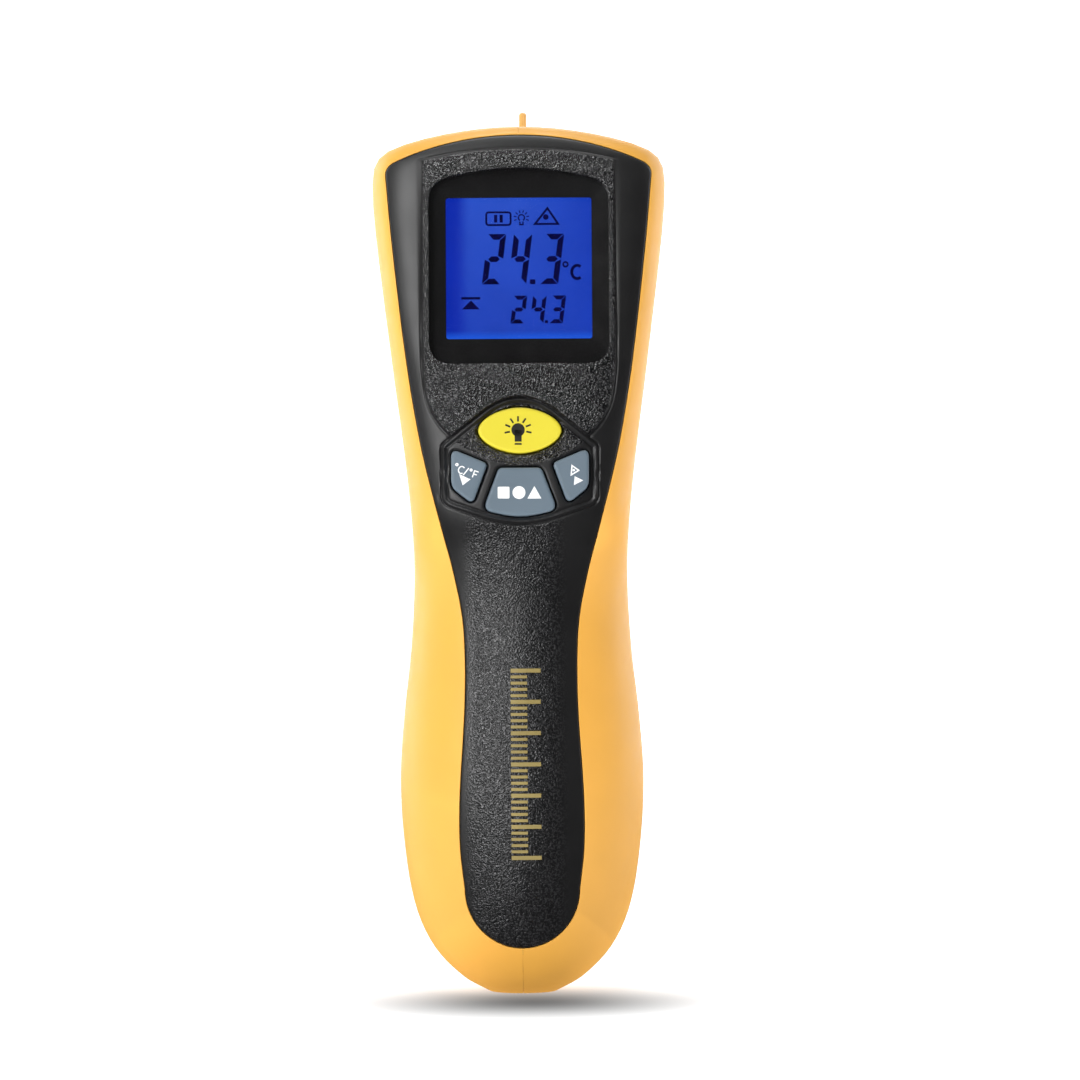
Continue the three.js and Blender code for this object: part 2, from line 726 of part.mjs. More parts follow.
const beeper = add(
  face,
  "beeper",
  turned(
    [
      [0, 0],
      [BEEPER.radius, 0],
      [BEEPER.radius, BEEPER.thick],
      [0, BEEPER.thick],
    ],
    16,
  ),
  PLASTICS.rubber,
);
beeper.position.set(0, upFace(BEEPER.z) + 12, -BOARD.depth - BOARD.thick - GAP);
beeper.rotation.x = -Math.PI / 2;

// Each key: a cap through the fascia, a flange behind it and a stem towards its dome.
KEYS.forEach(({ name, outline, stem, look }) => {
  const { reach, depth, thick } = KEY_FLANGE;
  const flangeBack = -depth - thick;
  const stemEnd = -(DOME_SHEET.depth - GAP - KEY_TRAVEL);
  const cap = solidFrom(prism(outline, flangeBack, KEY_PROUD));
  const flange = solidFrom(prism(grownOutline(outline, reach), flangeBack, -depth));
  const length = flangeBack - stemEnd + 0.4;
  const foot = new THREE.CylinderGeometry(2, 2, length, 8).rotateX(Math.PI / 2);
  foot.translate(stem[0], upFace(stem[1]), stemEnd + length / 2);
  add(face, name, geometryFrom(cap.add(flange).add(solidFrom(foot))), look);
});

const domes = add(
  face,
  "keypad_dome_sheet",
  prism(panelOutline(DOME_SHEET.half, 2), -DOME_SHEET.depth - DOME_SHEET.thick, -DOME_SHEET.depth),
  PLASTICS.rubber,
);
domes.position.y = upFace(DOME_SHEET.z);

// ---------------------------------------------------------------- trigger

const [pivotY, pivotZ] = TRIGGER_PIVOT;

function triggerBlade() {
  const blade = prismAlongX(roundedOutline(TRIGGER_CORNERS), -TRIGGER_HALF_WIDTH, TRIGGER_HALF_WIDTH);
  return geometryFrom(blade.subtract(rodAlongX(TRIGGER_PIVOT, PIN_RADIUS + 0.15, -9, 9)));
}

function pinGeometry(halfLength) {
  return new THREE.CylinderGeometry(PIN_RADIUS, PIN_RADIUS, 2 * halfLength, 10).rotateZ(Math.PI / 2);
}

// Torsion spring round the pin, beside the blade, with a straight leg at each end.
function torsionSpring() {
  const turns = 3;
  const perTurn = 10;
  const radius = 2;
  const points = [[6, radius, 6]];
  for (let i = 0; i <= turns * perTurn; i++) {
    const a = (2 * Math.PI * i) / perTurn;
    points.push([6 + (2 * i) / (turns * perTurn), radius * Math.cos(a), -radius * Math.sin(a)]);
  }
  points.push([8, radius, -7]);
  return wire(points, 0.3, 38, 5);
}

add(thermometer, "trigger", triggerBlade(), PLASTICS.black);
add(thermometer, "trigger_pin", pinGeometry(10.3), METALS.steel).position.set(0, pivotY, pivotZ);
add(thermometer, "trigger_spring", torsionSpring(), METALS.steel).position.set(0, pivotY, pivotZ);

const switchBoard = new THREE.BoxGeometry(13, 1.2, 15);
add(thermometer, "trigger_switch_board", switchBoard, PLASTICS.board).position.set(0, SWITCH_Y - 0.6, 86);

const switchProfile = [
  [0, 0],
  [3.2, 0],
  [3.2, 3.6],
  [1.6, 3.6],
  [1.6, 4.8],
  [0, 4.8],
];
add(thermometer, "trigger_switch", turned(switchProfile, 16), PLASTICS.rubber).position.set(
  0,
  SWITCH_Y + GAP,
  86,
);
const triggerLead = wire(
  [
    [4, SWITCH_Y - 1.9, 88],
    [5, -1, 90],
    [6, -4, 91],
    [6, -7.6, 92],
  ],
  0.5,
  10,
);
add(thermometer, "trigger_lead", triggerLead, PLASTICS.white);

// ---------------------------------------------------------------- barrel front and optics

function frontBezel() {
  const plugBody = bodySolid(WALL + 0.35, lastStation - 4, lastStation, INNER_QUARTER);
  const plate = plugBody.intersect(boxSolid([-30, 30], [55, NOSE_Y - 0.4], [90, 165]));
  const lift = (geometry, z) => solidFrom(geometry.translate(0, 0, z));
  const nozzle = turned([
    [0, 57],
    [NOZZLE_RADIUS, 57],
    [NOZZLE_RADIUS, NOZZLE_Y - 1],
    [NOZZLE_RADIUS - 1, NOZZLE_Y],
    [0, NOZZLE_Y],
  ]);
  const throat = turned([
    [0, 50],
    [8.6, 50],
    [8.6, 56.5],
    [11.4, NOZZLE_Y + 1],
    [0, NOZZLE_Y + 1],
  ]);
  const laserPort = turned(
    [
      [0, 50],
      [1.8, 50],
      [1.8, 57.8],
      [3.2, 57.8],
      [3.2, 63],
      [0, 63],
    ],
    16,
  );
  return plate
    .add(lift(nozzle, OPTICS_Z))
    .subtract(lift(throat, OPTICS_Z))
    .subtract(lift(laserPort, LASER_Z));
}

add(thermometer, "front_bezel", geometryFrom(frontBezel()), PLASTICS.black);

const tubeProfile = [
  [4.9, 29],
  [10, 29],
  [10, 54.6],
  [8.3, 54.6],
  [8.3, 50.3],
  [6.4, 50.3],
  [6.4, 36],
  [4.9, 36],
  [4.9, 29],
];
add(optics, "sensor_tube", turned(tubeProfile), METALS.aluminium);

const lensProfile = [
  [0, 50.6],
  [8, 50.6],
  [8, 51.9],
  [5, 52.4],
  [0, 52.6],
];
add(optics, "ir_lens", turned(lensProfile), CLEAR.lens);

const ringProfile = [
  [6.6, 52.9],
  [8, 52.9],
  [8, 54.2],
  [6.6, 54.2],
  [6.6, 52.9],
];
add(optics, "lens_retaining_ring", turned(ringProfile), PLASTICS.black);

const thermopileProfile = [
  [0, 29.3],
  [4.6, 29.3],
  [4.6, 30.1],
  [4.1, 30.1],
  [4.1, 33.6],
  [0, 33.6],
];
add(optics, "thermopile_sensor", turned(thermopileProfile, 16), METALS.steel);
add(optics, "sensor_board", new THREE.BoxGeometry(18, 1.2, 18), PLASTICS.board).position.y = 28;

function ribbon() {
  const section = panelOutline([3, 0.35], 0.1);
  const extrudePath = new THREE.CatmullRomCurve3([
    new THREE.Vector3(0, 27, 4),
    new THREE.Vector3(0, 18, 1),
    new THREE.Vector3(0, 8, 3),
    new THREE.Vector3(0, 0.5, 8),
  ]);
  const settings = { steps: 8, bevelEnabled: false, extrudePath, curveSegments: 1 };
  return new THREE.ExtrudeGeometry(section, settings);
}
add(optics, "sensor_cable", ribbon(), PLASTICS.white);

const laserProfile = [
  [0, 37],
  [3.25, 37],
  [3.25, 53.6],
  [2.2, 53.6],
  [2.2, 54.6],
  [0, 54.6],
];
add(laser, "laser_module", turned(laserProfile, 16), METALS.brass);
const laserWindowProfile = [
  [0, 58.1],
  [2.9, 58.1],
  [2.9, 58.9],
  [0, 58.9],
];
add(laser, "laser_window", turned(laserWindowProfile, 16), CLEAR.window);
const laserLead = wire(
  [
    [0, 36.6, 0],
    [-4, 26, 0],
    [-8, 12, -3],
    [-10, 0, -6],
    [-10, -5.4, -8],
  ],
  0.5,
  14,
);
add(laser, "laser_lead", laserLead, PLASTICS.red);

// ---------------------------------------------------------------- battery and its door

function batteryDoor() {
  const wall = outerBody.subtract(bodySolid(WALL, 1.2, lastStation - 8, INNER_QUARTER));
  const lid = wall.intersect(prismAlongY(doorOutline, 0, AHEAD));
  const [hingeY, hingeZ] = DOOR_HINGE;
  const belowPin = boxSolid([-30, 30], [0, 30], [0, hingeZ]);
  const lugRoom = [-1, 1].map((side) => {
    const edges = [side * (LUG.from - 0.3), side * 20].sort((a, b) => a - b);
    return boxSolid(edges, [0, 30], [0, hingeZ + KNUCKLE.radius + 0.4]);
  });
  const knuckle = rodAlongX(DOOR_HINGE, KNUCKLE.radius, -KNUCKLE.halfWidth, KNUCKLE.halfWidth, 16);
  const pinHole = rodAlongX(DOOR_HINGE, PIN_RADIUS + 0.1, -10, 10);
  const web = boxSolid(
    [-KNUCKLE.halfWidth, KNUCKLE.halfWidth],
    [hingeY - 0.6, hingeY + KNUCKLE.radius],
    [hingeZ, hingeZ + 4],
  );
  return lid
    .subtract(belowPin)
    .subtract(lugRoom[0])
    .subtract(lugRoom[1])
    .add(knuckle)
    .add(web)
    .subtract(pinHole);
}

add(thermometer, "battery_door", geometryFrom(batteryDoor()), PLASTICS.yellow);
add(thermometer, "door_hinge_pin", pinGeometry(6.2), METALS.steel).position.set(0, ...DOOR_HINGE);

const [batteryX, batteryY, batteryZ] = BATTERY.size;

function batteryBlock() {
  let block = boxSolid([-batteryX / 2, batteryX / 2], [-batteryY / 2, batteryY / 2], [0, batteryZ]);
  for (const x of [-6.35, 6.35]) {
    const stud = new THREE.CylinderGeometry(2.8, 2.8, 2.4, 12).rotateX(Math.PI / 2);
    block = block.add(solidFrom(stud.translate(x, 0, batteryZ + 1)));
  }
  return geometryFrom(block);
}

add(handle, "battery_9v", batteryBlock(), PLASTICS.black);
const snap = prism(panelOutline([12.6, 6.2], 5), batteryZ + 2.6, batteryZ + 5);
add(handle, "battery_snap", snap, PLASTICS.rubber);

[
  ["battery_lead_red", 3.5, PLASTICS.red],
  ["battery_lead_black", -3.5, PLASTICS.rubber],
].forEach(([name, x, look]) => {
  const lead = wire(
    [
      [x, 0, batteryZ + 5.9],
      [x, -2, batteryZ + 13],
      [x * 1.2, -3, batteryZ + 22],
      [x * 1.2, -4.4, batteryZ + 32],
    ],
    0.6,
    12,
  );
  add(handle, name, lead, look);
});

export default thermometer;
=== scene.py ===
"""Looks of the infrared thermometer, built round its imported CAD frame.

Lengths are in millimetres in the tables and functions below, as in the CAD, and become metres where a
mesh is made. +Z is up the handle, +Y along the barrel, +X to the right of someone who reads the display.
"""

import json
import math

import bmesh
import bpy
import numpy as np
from mathutils import Matrix, Vector


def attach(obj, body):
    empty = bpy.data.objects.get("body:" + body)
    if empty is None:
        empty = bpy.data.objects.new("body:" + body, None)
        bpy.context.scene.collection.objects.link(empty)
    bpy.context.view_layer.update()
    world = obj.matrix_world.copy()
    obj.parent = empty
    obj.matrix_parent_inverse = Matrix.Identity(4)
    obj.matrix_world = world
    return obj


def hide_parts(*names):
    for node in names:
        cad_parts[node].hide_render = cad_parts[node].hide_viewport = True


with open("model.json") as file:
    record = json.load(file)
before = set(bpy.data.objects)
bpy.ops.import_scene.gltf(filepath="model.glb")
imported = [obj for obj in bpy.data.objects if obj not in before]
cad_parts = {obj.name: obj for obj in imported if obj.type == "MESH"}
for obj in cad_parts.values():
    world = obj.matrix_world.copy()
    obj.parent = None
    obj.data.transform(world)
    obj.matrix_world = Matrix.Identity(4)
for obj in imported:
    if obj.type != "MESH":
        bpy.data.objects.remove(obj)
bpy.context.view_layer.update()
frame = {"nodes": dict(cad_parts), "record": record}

MM = 0.001  # metres in a millimetre

# ---------------- driving dimensions

FACE_TILT = math.radians(5.5)  # the display face leans forward by this much
FACE_Y0 = -27.86  # where the line of the display face meets z = 0
FACE_Z = 120.0  # height of the face frame's origin
WALL = 2.0
SEAM = 0.02  # each shell half stops this far from the middle plane
NOSE_Y = 60.0
NOSE_SCALE = 0.88
TAPER_FROM_Y = 5.0
BEHIND, AHEAD = -40.0, 40.0  # planes behind the body and in front of the handle


def face_y(z):
    return FACE_Y0 + z * math.tan(FACE_TILT)


BODY_HALF_WIDTHS = [
    (0, 6.2), (2.7, 10.9), (8.1, 16.1), (15.3, 19.4), (26, 21.3), (38.7, 22.05), (51.3, 21.2),
    (62, 20), (76.5, 19.35), (90.9, 20.25), (112.5, 22.95), (134, 25.65), (145, 26.6), (160, 26.6),
]
# Sections of the body up the handle, round the head and out along the barrel: rear or top point (y, z),
# front or underside point (y, z), how square the rear and the front half are, and the crown of the top.
STATIONS = np.array([
    (-8, 0, 8, 0, 2.2, 2.2, 0),
    (-12.5, 1.6, 11.5, 1.4, 2.2, 2.2, 0),
    (-16, 4.8, 13.8, 4.2, 2.1, 2.2, 0),
    (-19.4, 11.5, 15.6, 10.5, 2, 2.3, 0),
    (-21.7, 21.5, 16, 20.5, 1.9, 2.3, 0),
    (-22.6, 34, 15, 33, 1.85, 2.3, 0),
    (-21.6, 47, 13.4, 46, 1.85, 2.3, 0),
    (-19.6, 60, 12.4, 60, 1.85, 2.3, 0),
    (-18.4, 71, 13, 69, 1.9, 2.4, 0),
    (-18.5, 80, 14.3, 76, 2.3, 2.5, 0),
    (face_y(88), 88, 15.9, 82.5, 3.2, 2.6, 0),
    (face_y(97), 97, 17.6, 88.5, 3.8, 2.8, 0),
    (face_y(110), 110, 19.4, 94, 4.6, 3, 0),
    (face_y(124), 124, 21.2, 98, 6, 3, 0),
    (face_y(138), 138, 23.2, 100.6, 6, 3.2, 0.4),
    (face_y(149), 149, 25.4, 102.2, 7, 3.5, 2.2),
    (-11.7, 155, 28.4, 103.2, 10, 4, 4.8),
    (-7, 156.7, 32, 104, 14, 4.5, 6),
    (6, 157.1, 37, 105, 14, 5, 6),
    (24, 156.8, 44, 106.4, 14, 5, 6),
    (42, 155, 52, 108.3, 14, 5, 5.6),
    (NOSE_Y, 151.8, NOSE_Y, 110.2, 12, 5, 5),
])
LAST = len(STATIONS) - 1
TOP_OF_REAR = 17.4  # the rear face ends before this station

FASCIA_HALF_WIDTHS = [
    (19.5, 10.2), (27, 11), (36, 11), (51, 10.1), (60, 9.95), (68, 10.4), (76.5, 12.06),
    (83.7, 13.95), (98, 17.5), (112.5, 20), (134, 22.6), (147.6, 23.9),
]
FOOT_Z, FOOT_HALF, FOOT_HEIGHT = 19.5, 10.2, 10.5  # the half ellipse that ends the fascia below
ARC_RADIUS, ARC_CENTRE_Z = 55.0, 99.8  # the arc that ends it above
SIDE_TOP, CORNER, ARC_START_X = (23.9, 147.6), (24.05, 149.3), 22.28  # its rounded upper corner
FASCIA_BACK_Y = -7.0
FASCIA_LIP = 1.5
FASCIA_GAP = 0.12  # between the fascia and the shells
LIP_INSET, HOLLOW_INSET = 2.3, 3.1  # the fascia's lip lies under the shells' walls
EDGE_RADIUS = 0.2

# The raised panel of the fascia: its half width at height z, and the arc of its top.
PANEL_HALF, PANEL_FOOT_Z = 17.4, 99.0
PANEL_HALF_WIDTHS = [
    (84, 9), (99, 11.2), (100.6, 12.5), (102.7, 14.4), (106, 16.2), (110.5, 17.1), (116, PANEL_HALF),
    (156, PANEL_HALF),
]
PANEL_TOP_Z, PANEL_TOP_RADIUS = 152.4, 76.0

# Inlay that frames the keys. Corners are x, z and corner radius.
KEYPAD_CORNERS = [
    (0, 110.3, 10.8), (14.17, 98.96, 1.5), (14.1, 88.3, 2.5),
    (0, 83.5, 21.6), (-14.1, 88.3, 2.5), (-14.17, 98.96, 1.5),
]
DISPLAY_Z = 131.0
BEZEL = {"half": 16.2, "peak": 19.3, "shoulder": 15.4, "bottom": -17.6, "corner": 4.4, "arch": 51}
RECESS = {"rim_depth": 1.9, "foot_depth": 2.1}
OPENING_HALF = (13.1, 12.8)
WINDOW = {"half": (14.2, 14.0), "depth": 3.7, "thick": 0.9}
LCD = {"half": (16.5, 17.0), "depth": 4.9, "thick": 2.0}
BOARD_POSTS = [(19.2, 25.5), (-19.2, 25.5), (15.4, -11), (-15.4, -11)]
POST_END, POST_RADIUS, POST_HOLE = 8.8, 2.0, 0.95

KEY_PROUD = 0.9
KEY_FLANGE = {"reach": 0.7, "depth": 5.4, "thick": 0.8}
KEY_STEM_END, KEY_STEM_RADIUS = 7.45, 2.0
KEY_GAP = 0.3
KEY_OVAL = {"half_width": 7.45, "half_height": 4.1, "z": 101.5, "power": 1.8}
MODE_KEY_CORNERS = [
    (-3.8, 94.8, 1.1), (3.8, 94.8, 1.1), (6.6, 87.35, 1.4), (0, 85.8, 16), (-6.6, 87.35, 1.4),
]
SIDE_KEY_CORNERS = [(12.3, 98.3, 1.1), (12.3, 91.5, 2.5), (8.5, 88.4, 1), (5.8, 95.6, 0.9)]

TRIGGER_PIVOT = (15.0, 105.0)
TRIGGER_CORNERS = [
    (11.6, 107.6, 2), (18.4, 107.6, 2), (24.4, 100.6, 1.5), (21.2, 88, 8), (22.9, 79.4, 1.2),
    (20.6, 77.8, 1.2), (15.4, 78.8, 1.5), (14.2, 88, 6), (11, 104, 2),
]
TRIGGER_HALF = 5.0
SLOT_HALF, SLOT_Y, SLOT_Z = 5.6, (8, 25.2), (76.8, 103.9)
PIN_RADIUS = 0.9

DOOR_CORNERS = [
    (14.5, 66, 3.5), (14.5, 24, 8), (6.8, 5.6, 2.5), (-6.8, 5.6, 2.5), (-14.5, 24, 8), (-14.5, 66, 3.5),
]
DOOR_HINGE = (12.3, 8.2)
KNUCKLE_RADIUS, KNUCKLE_HALF = 1.9, 3.4
LUG_FROM, LUG_TO = 3.8, 6.8

OPTICS_Z, LASER_Z = 133.0, 115.8
NOZZLE_RADIUS, NOZZLE_Y = 13.2, 66.0
HOUSING_SCREWS = [(3, 69, 18.2), (3, 6.5, 12.8), (22, 145.5, 24.4), (31, 111.5, 17.2)]  # y, z, head's -x
SCREW_TIP_X = 8.5
BOSS_RADIUS, SCREW_HEAD_ROOM = 3.2, 2.7
FIN_CORNERS = [(22, 153, 0.1), (35, 162.8, 3), (40.5, 162.1, 1.2), (44, 150, 0.1)]
FIN_X = (SEAM, 1.4)
TONGUE = {"reach": 2.4, "half": 5.0, "height": 2.2}

# ---------------- curves and outlines


def hermite(points, x):
    """Value at x of a smooth curve through (x, value) points."""
    px, value = np.array(points, float).T
    slope = np.gradient(value, px)
    slope[1:-1] = (value[2:] - value[:-2]) / (px[2:] - px[:-2])
    i = np.clip(np.searchsorted(px, x, side="right") - 1, 0, len(px) - 2)
    h = px[i + 1] - px[i]
    f = np.clip((x - px[i]) / h, 0, 1)
    rise = f * f * (3 - 2 * f)
    leave = f * (1 - f) ** 2 * h * slope[i]
    arrive = f * f * (f - 1) * h * slope[i + 1]
    return value[i] + (value[i + 1] - value[i]) * rise + leave + arrive


def smooth(x, start, end):
    """0 before start, 1 after end, and a smooth step between them."""
    f = np.clip((x - start) / (end - start), 0, 1)
    return f * f * (3 - 2 * f)


def station(u):
    """The section data at position u along STATIONS."""
    u = np.asarray(u, float)
    i = np.minimum(np.floor(u).astype(int), LAST - 1)
    f = (u - i)[..., None]
    a, b, c, d = (STATIONS[np.clip(i + k, 0, LAST)] for k in (-1, 0, 1, 2))
    row = b + 0.5 * f * (c - a + f * (2 * a - 5 * b + 4 * c - d + f * (3 * (b - c) + d - a)))
    return np.moveaxis(row, -1, 0)


def width_share(y):
    return 1 - (1 - NOSE_SCALE) * smooth(y, TAPER_FROM_Y, NOSE_Y)


def section_ring(u, inset, quarter):
    """One ring of points on the body's surface, moved inwards by inset."""
    w = 2 * (np.arange(4 * quarter) % quarter) / quarter - 1
    turn = np.arange(4 * quarter) // quarter + 0.5 + 0.5 * np.sign(w) * np.abs(w) ** 1.3
    c0, s0 = np.cos(turn * math.pi / 2), np.sin(turn * math.pi / 2)
    rear_y, rear_z, front_y, front_z, rear_power, front_power, crown = station(u)
    middle = np.array([rear_y + front_y, rear_z + front_z]) / 2
    way = np.array([rear_y - front_y, rear_z - front_z])
    half = np.linalg.norm(way) / 2
    way = way / (2 * half)
    power = np.where(c0 > 0, rear_power, front_power)
    reach = (np.abs(c0) ** power + np.abs(s0) ** power) ** (-1 / power)
    c, s = reach * c0, reach * s0
    drop = np.where(c > 0, crown * s * s, 0)
    along = (half - inset - drop) * c
    y, z = middle[0] + way[0] * along, middle[1] + way[1] * along
    width = hermite(BODY_HALF_WIDTHS, z) * width_share(y) - inset
    return np.stack([s * width, y, z], 1)


def rear_y(x, z):
    """The y of the body's rear surface at (x, z)."""
    x, z = np.broadcast_arrays(np.asarray(x, float), np.asarray(z, float))
    s = np.clip(np.abs(x) / hermite(BODY_HALF_WIDTHS, z), 0, 0.995)
    low, high = np.zeros(s.shape), np.full(s.shape, TOP_OF_REAR)
    for _ in range(26):
        u = (low + high) / 2
        back_y, back_z, front_y, front_z, power, _, crown = station(u)
        half = np.hypot(back_y - front_y, back_z - front_z) / 2
        share = (1 - crown * s * s / half) * (1 - s**power) ** (1 / power)
        at_z = (back_z + front_z) / 2 + (back_z - front_z) / 2 * share
        low = np.where(at_z < z, u, low)
        high = np.where(at_z < z, high, u)
    return (back_y + front_y) / 2 + (back_y - front_y) / 2 * share


def bend(start, corner, end, steps):
    """Points of the quadratic curve from start to end round a corner."""
    start, corner, end = (np.array(p, float) for p in (start, corner, end))
    share = np.linspace(0, 1, steps + 1)[:, None]
    return list((1 - share) ** 2 * start + 2 * share * (1 - share) * corner + share**2 * end)


def rounded(corners, steps=8):
    """Closed outline through corners (x, y, radius), each corner rounded off."""
    points = []
    for i, (x, y, radius) in enumerate(corners):
        corner = np.array([x, y], float)
        back = np.array(corners[i - 1][:2]) - corner
        on = np.array(corners[(i + 1) % len(corners)][:2]) - corner
        back, on = back / np.linalg.norm(back), on / np.linalg.norm(on)
        reach = radius / math.tan(math.acos(np.clip(back @ on, -1, 1)) / 2)
        points += bend(corner + back * reach, corner, corner + on * reach, steps)
    return np.array(points)


def panel(half, radius=0.8, centre=(0, 0), steps=6):
    """Rectangle with rounded corners."""
    (half_x, half_y), (x, y) = half, centre
    signs = [(1, 1), (1, -1), (-1, -1), (-1, 1)]
    return rounded([(x + i * half_x, y + j * half_y, radius) for i, j in signs], steps)


def circle(radius, centre=(0, 0), sides=32):
    a = np.arange(sides) * 2 * math.pi / sides
    return np.stack([centre[0] + radius * np.cos(a), centre[1] + radius * np.sin(a)], 1)


def area_of(outline):
    x, y = outline.T
    return 0.5 * np.sum(x * np.roll(y, -1) - y * np.roll(x, -1))


def grown(outline, distance):
    """Outline moved outwards by a distance."""
    before, after = outline - np.roll(outline, 1, 0), np.roll(outline, -1, 0) - outline
    before = before / np.linalg.norm(before, axis=1)[:, None]
    after = after / np.linalg.norm(after, axis=1)[:, None]
    along = before + after
    along = along / np.linalg.norm(along, axis=1)[:, None]
    cosine = np.sum(along * after, axis=1)[:, None]
    side = 1 if area_of(outline) > 0 else -1
    return outline + side * distance * np.stack([along[:, 1], -along[:, 0]], 1) / cosine


def inside(outline, x, z):
    """Distance of points from an outline, positive inside it."""
    nearest = np.full(x.shape, 1e9)
    odd = np.zeros(x.shape, bool)
    for (ax, az), (bx, bz) in zip(outline, np.roll(outline, -1, 0)):
        ex, ez = bx - ax, bz - az
        t = np.clip(((x - ax) * ex + (z - az) * ez) / (ex * ex + ez * ez + 1e-12), 0, 1)
        nearest = np.minimum(nearest, (x - ax - t * ex) ** 2 + (z - az - t * ez) ** 2)
        if az != bz:
            odd ^= ((az > z) != (bz > z)) & (x < ax + (z - az) * ex / ez)
    return np.where(odd, 1, -1) * np.sqrt(nearest)


def mirrored(half):
    """Closed outline from its right half, which runs from the bottom middle to the top middle."""
    return np.array(half + [(-x, z) for x, z in reversed(half[1:-1])])


def arc_z(x):
    """Height of the fascia's top arc at x."""
    return ARC_CENTRE_Z + np.sqrt(ARC_RADIUS**2 - x * x)


def fascia_outline():
    a = np.linspace(-math.pi / 2, 0, 18, endpoint=False)
    half = [(FOOT_HALF * math.cos(t), FOOT_Z + FOOT_HEIGHT * math.sin(t)) for t in a]
    half += [(float(hermite(FASCIA_HALF_WIDTHS, z)), z) for z in np.linspace(FOOT_Z, SIDE_TOP[1], 70)]
    half += bend(SIDE_TOP, CORNER, (ARC_START_X, arc_z(ARC_START_X)), 8)[1:-1]
    half += [(x, arc_z(x)) for x in np.linspace(ARC_START_X, 0, 26)]
    return mirrored(half)


def panel_outline():
    half = [(0, PANEL_FOOT_Z)]
    half += [(float(hermite(PANEL_HALF_WIDTHS, z)), z) for z in np.linspace(PANEL_FOOT_Z, 118, 24)]
    top = PANEL_TOP_Z - PANEL_TOP_RADIUS
    half += [(x, top + math.sqrt(PANEL_TOP_RADIUS**2 - x * x)) for x in np.linspace(PANEL_HALF, 0, 20)]
    return mirrored(half)


def up_face(z):
    return (z - FACE_Z) / math.cos(FACE_TILT)


def bezel_outline():
    """Outline of the display's recess, in the face frame, square below and arched above."""
    half, corner, y = BEZEL["half"], BEZEL["corner"], up_face(DISPLAY_Z)
    return rounded([
        (half, y + BEZEL["shoulder"], corner),
        (half, y + BEZEL["bottom"], corner),
        (-half, y + BEZEL["bottom"], corner),
        (-half, y + BEZEL["shoulder"], corner),
        (0, y + BEZEL["peak"], BEZEL["arch"]),
    ], 14)


def oval_outline():
    way = circle(1, sides=64)
    half = np.array([KEY_OVAL["half_width"], KEY_OVAL["half_height"]])
    return half * np.sign(way) * np.abs(way) ** (2 / KEY_OVAL["power"]) + [0, up_face(KEY_OVAL["z"])]


def key_outline(corners, side=1):
    return rounded([(side * x, up_face(z), radius) for x, z, radius in corners])


# ---------------- meshes

FACE = Matrix.Translation((0, face_y(FACE_Z), FACE_Z)) @ Matrix.Rotation(math.pi / 2 - FACE_TILT, 4, "X")
ALONG_Y = Matrix(((1, 0, 0, 0), (0, 0, 1, 0), (0, 1, 0, 0), (0, 0, 0, 1)))  # (x, z, y) to (x, y, z)
ALONG_X = Matrix(((0, 0, 1, 0), (1, 0, 0, 0), (0, 1, 0, 0), (0, 0, 0, 1)))  # (y, z, x) to (x, y, z)


def make_object(name, points, faces, place=None):
    """Mesh object from points in millimetres, with its faces turned outwards."""
    mesh = bpy.data.meshes.new(name)
    mesh.from_pydata(np.asarray(points, float).reshape(-1, 3).tolist(), [], faces)
    if place is not None:
        mesh.transform(place)
    mesh.transform(Matrix.Scale(MM, 4))
    obj = bpy.data.objects.new(name, mesh)
    bpy.context.scene.collection.objects.link(obj)
    face_outwards(obj)
    return obj


def face_outwards(obj):
    work = bmesh.new()
    work.from_mesh(obj.data)
    bmesh.ops.recalc_face_normals(work, faces=work.faces)
    work.to_mesh(obj.data)
    work.free()


def strip_faces(count, size):
    """Quads between successive closed rings of points."""
    a = (np.arange(count - 1)[:, None] * size + np.arange(size)).ravel()
    b = (np.arange(count - 1)[:, None] * size + (np.arange(size) + 1) % size).ravel()
    return np.stack([a, b, b + size, a + size], 1).tolist()


def skin(name, rings, place=None, loop=False):
    """Closed solid over rings of points, with a face across each end, or its last ring joined to its
    first."""
    rings = np.asarray(rings, float)
    count, size = rings.shape[:2]
    if loop:
        faces = (np.array(strip_faces(count + 1, size)) % (count * size)).tolist()
    else:
        ends = [list(range(size)), list(range((count - 1) * size, count * size))]
        faces = strip_faces(count, size) + ends
    return make_object(name, rings, faces, place)


def at_height(outline, height):
    return np.column_stack([outline, np.full(len(outline), height)])


def prism(outline, low, high, place=None, name="prism"):
    return skin(name, [at_height(outline, low), at_height(outline, high)], place)


def plate(name, outline, low, high, radius, place=None, both=False, steps=4, reach=None):
    """Prism with its upper edge, or both, rounded off. The rounding may reach further in than down."""
    reach = reach or radius
    turns = np.linspace(0, math.pi / 2, steps + 1)
    rise = [(reach * (1 - math.cos(t)), high - radius + radius * math.sin(t)) for t in turns]
    rise.append((reach + radius * 0.3, high))
    foot = [(0, low)]
    if both:
        foot = [(inset, low + high - height) for inset, height in reversed(rise)]
    rings = [at_height(grown(outline, -inset), height) for inset, height in foot + rise]
    return skin(name, rings, place)


def body(name, inset, u0, u1, quarter=16, per_station=5, past_nose=0.0):
    """The body's surface as a solid, from station u0 to station u1."""
    steps = round((u1 - u0) * per_station)
    rings = [section_ring(u, inset, quarter) for u in np.linspace(u0, u1, steps + 1)]
    if past_nose:
        rings.append(rings[-1] + np.array([0, past_nose, 0]))
    return skin(name, rings)


def box(x, y, z):
    return prism(np.array([(x[0], y[0]), (x[1], y[0]), (x[1], y[1]), (x[0], y[1])], float), *z)


def rod(centre, radius, x0, x1, sides=32):
    return prism(circle(radius, centre, sides), x0, x1, ALONG_X)


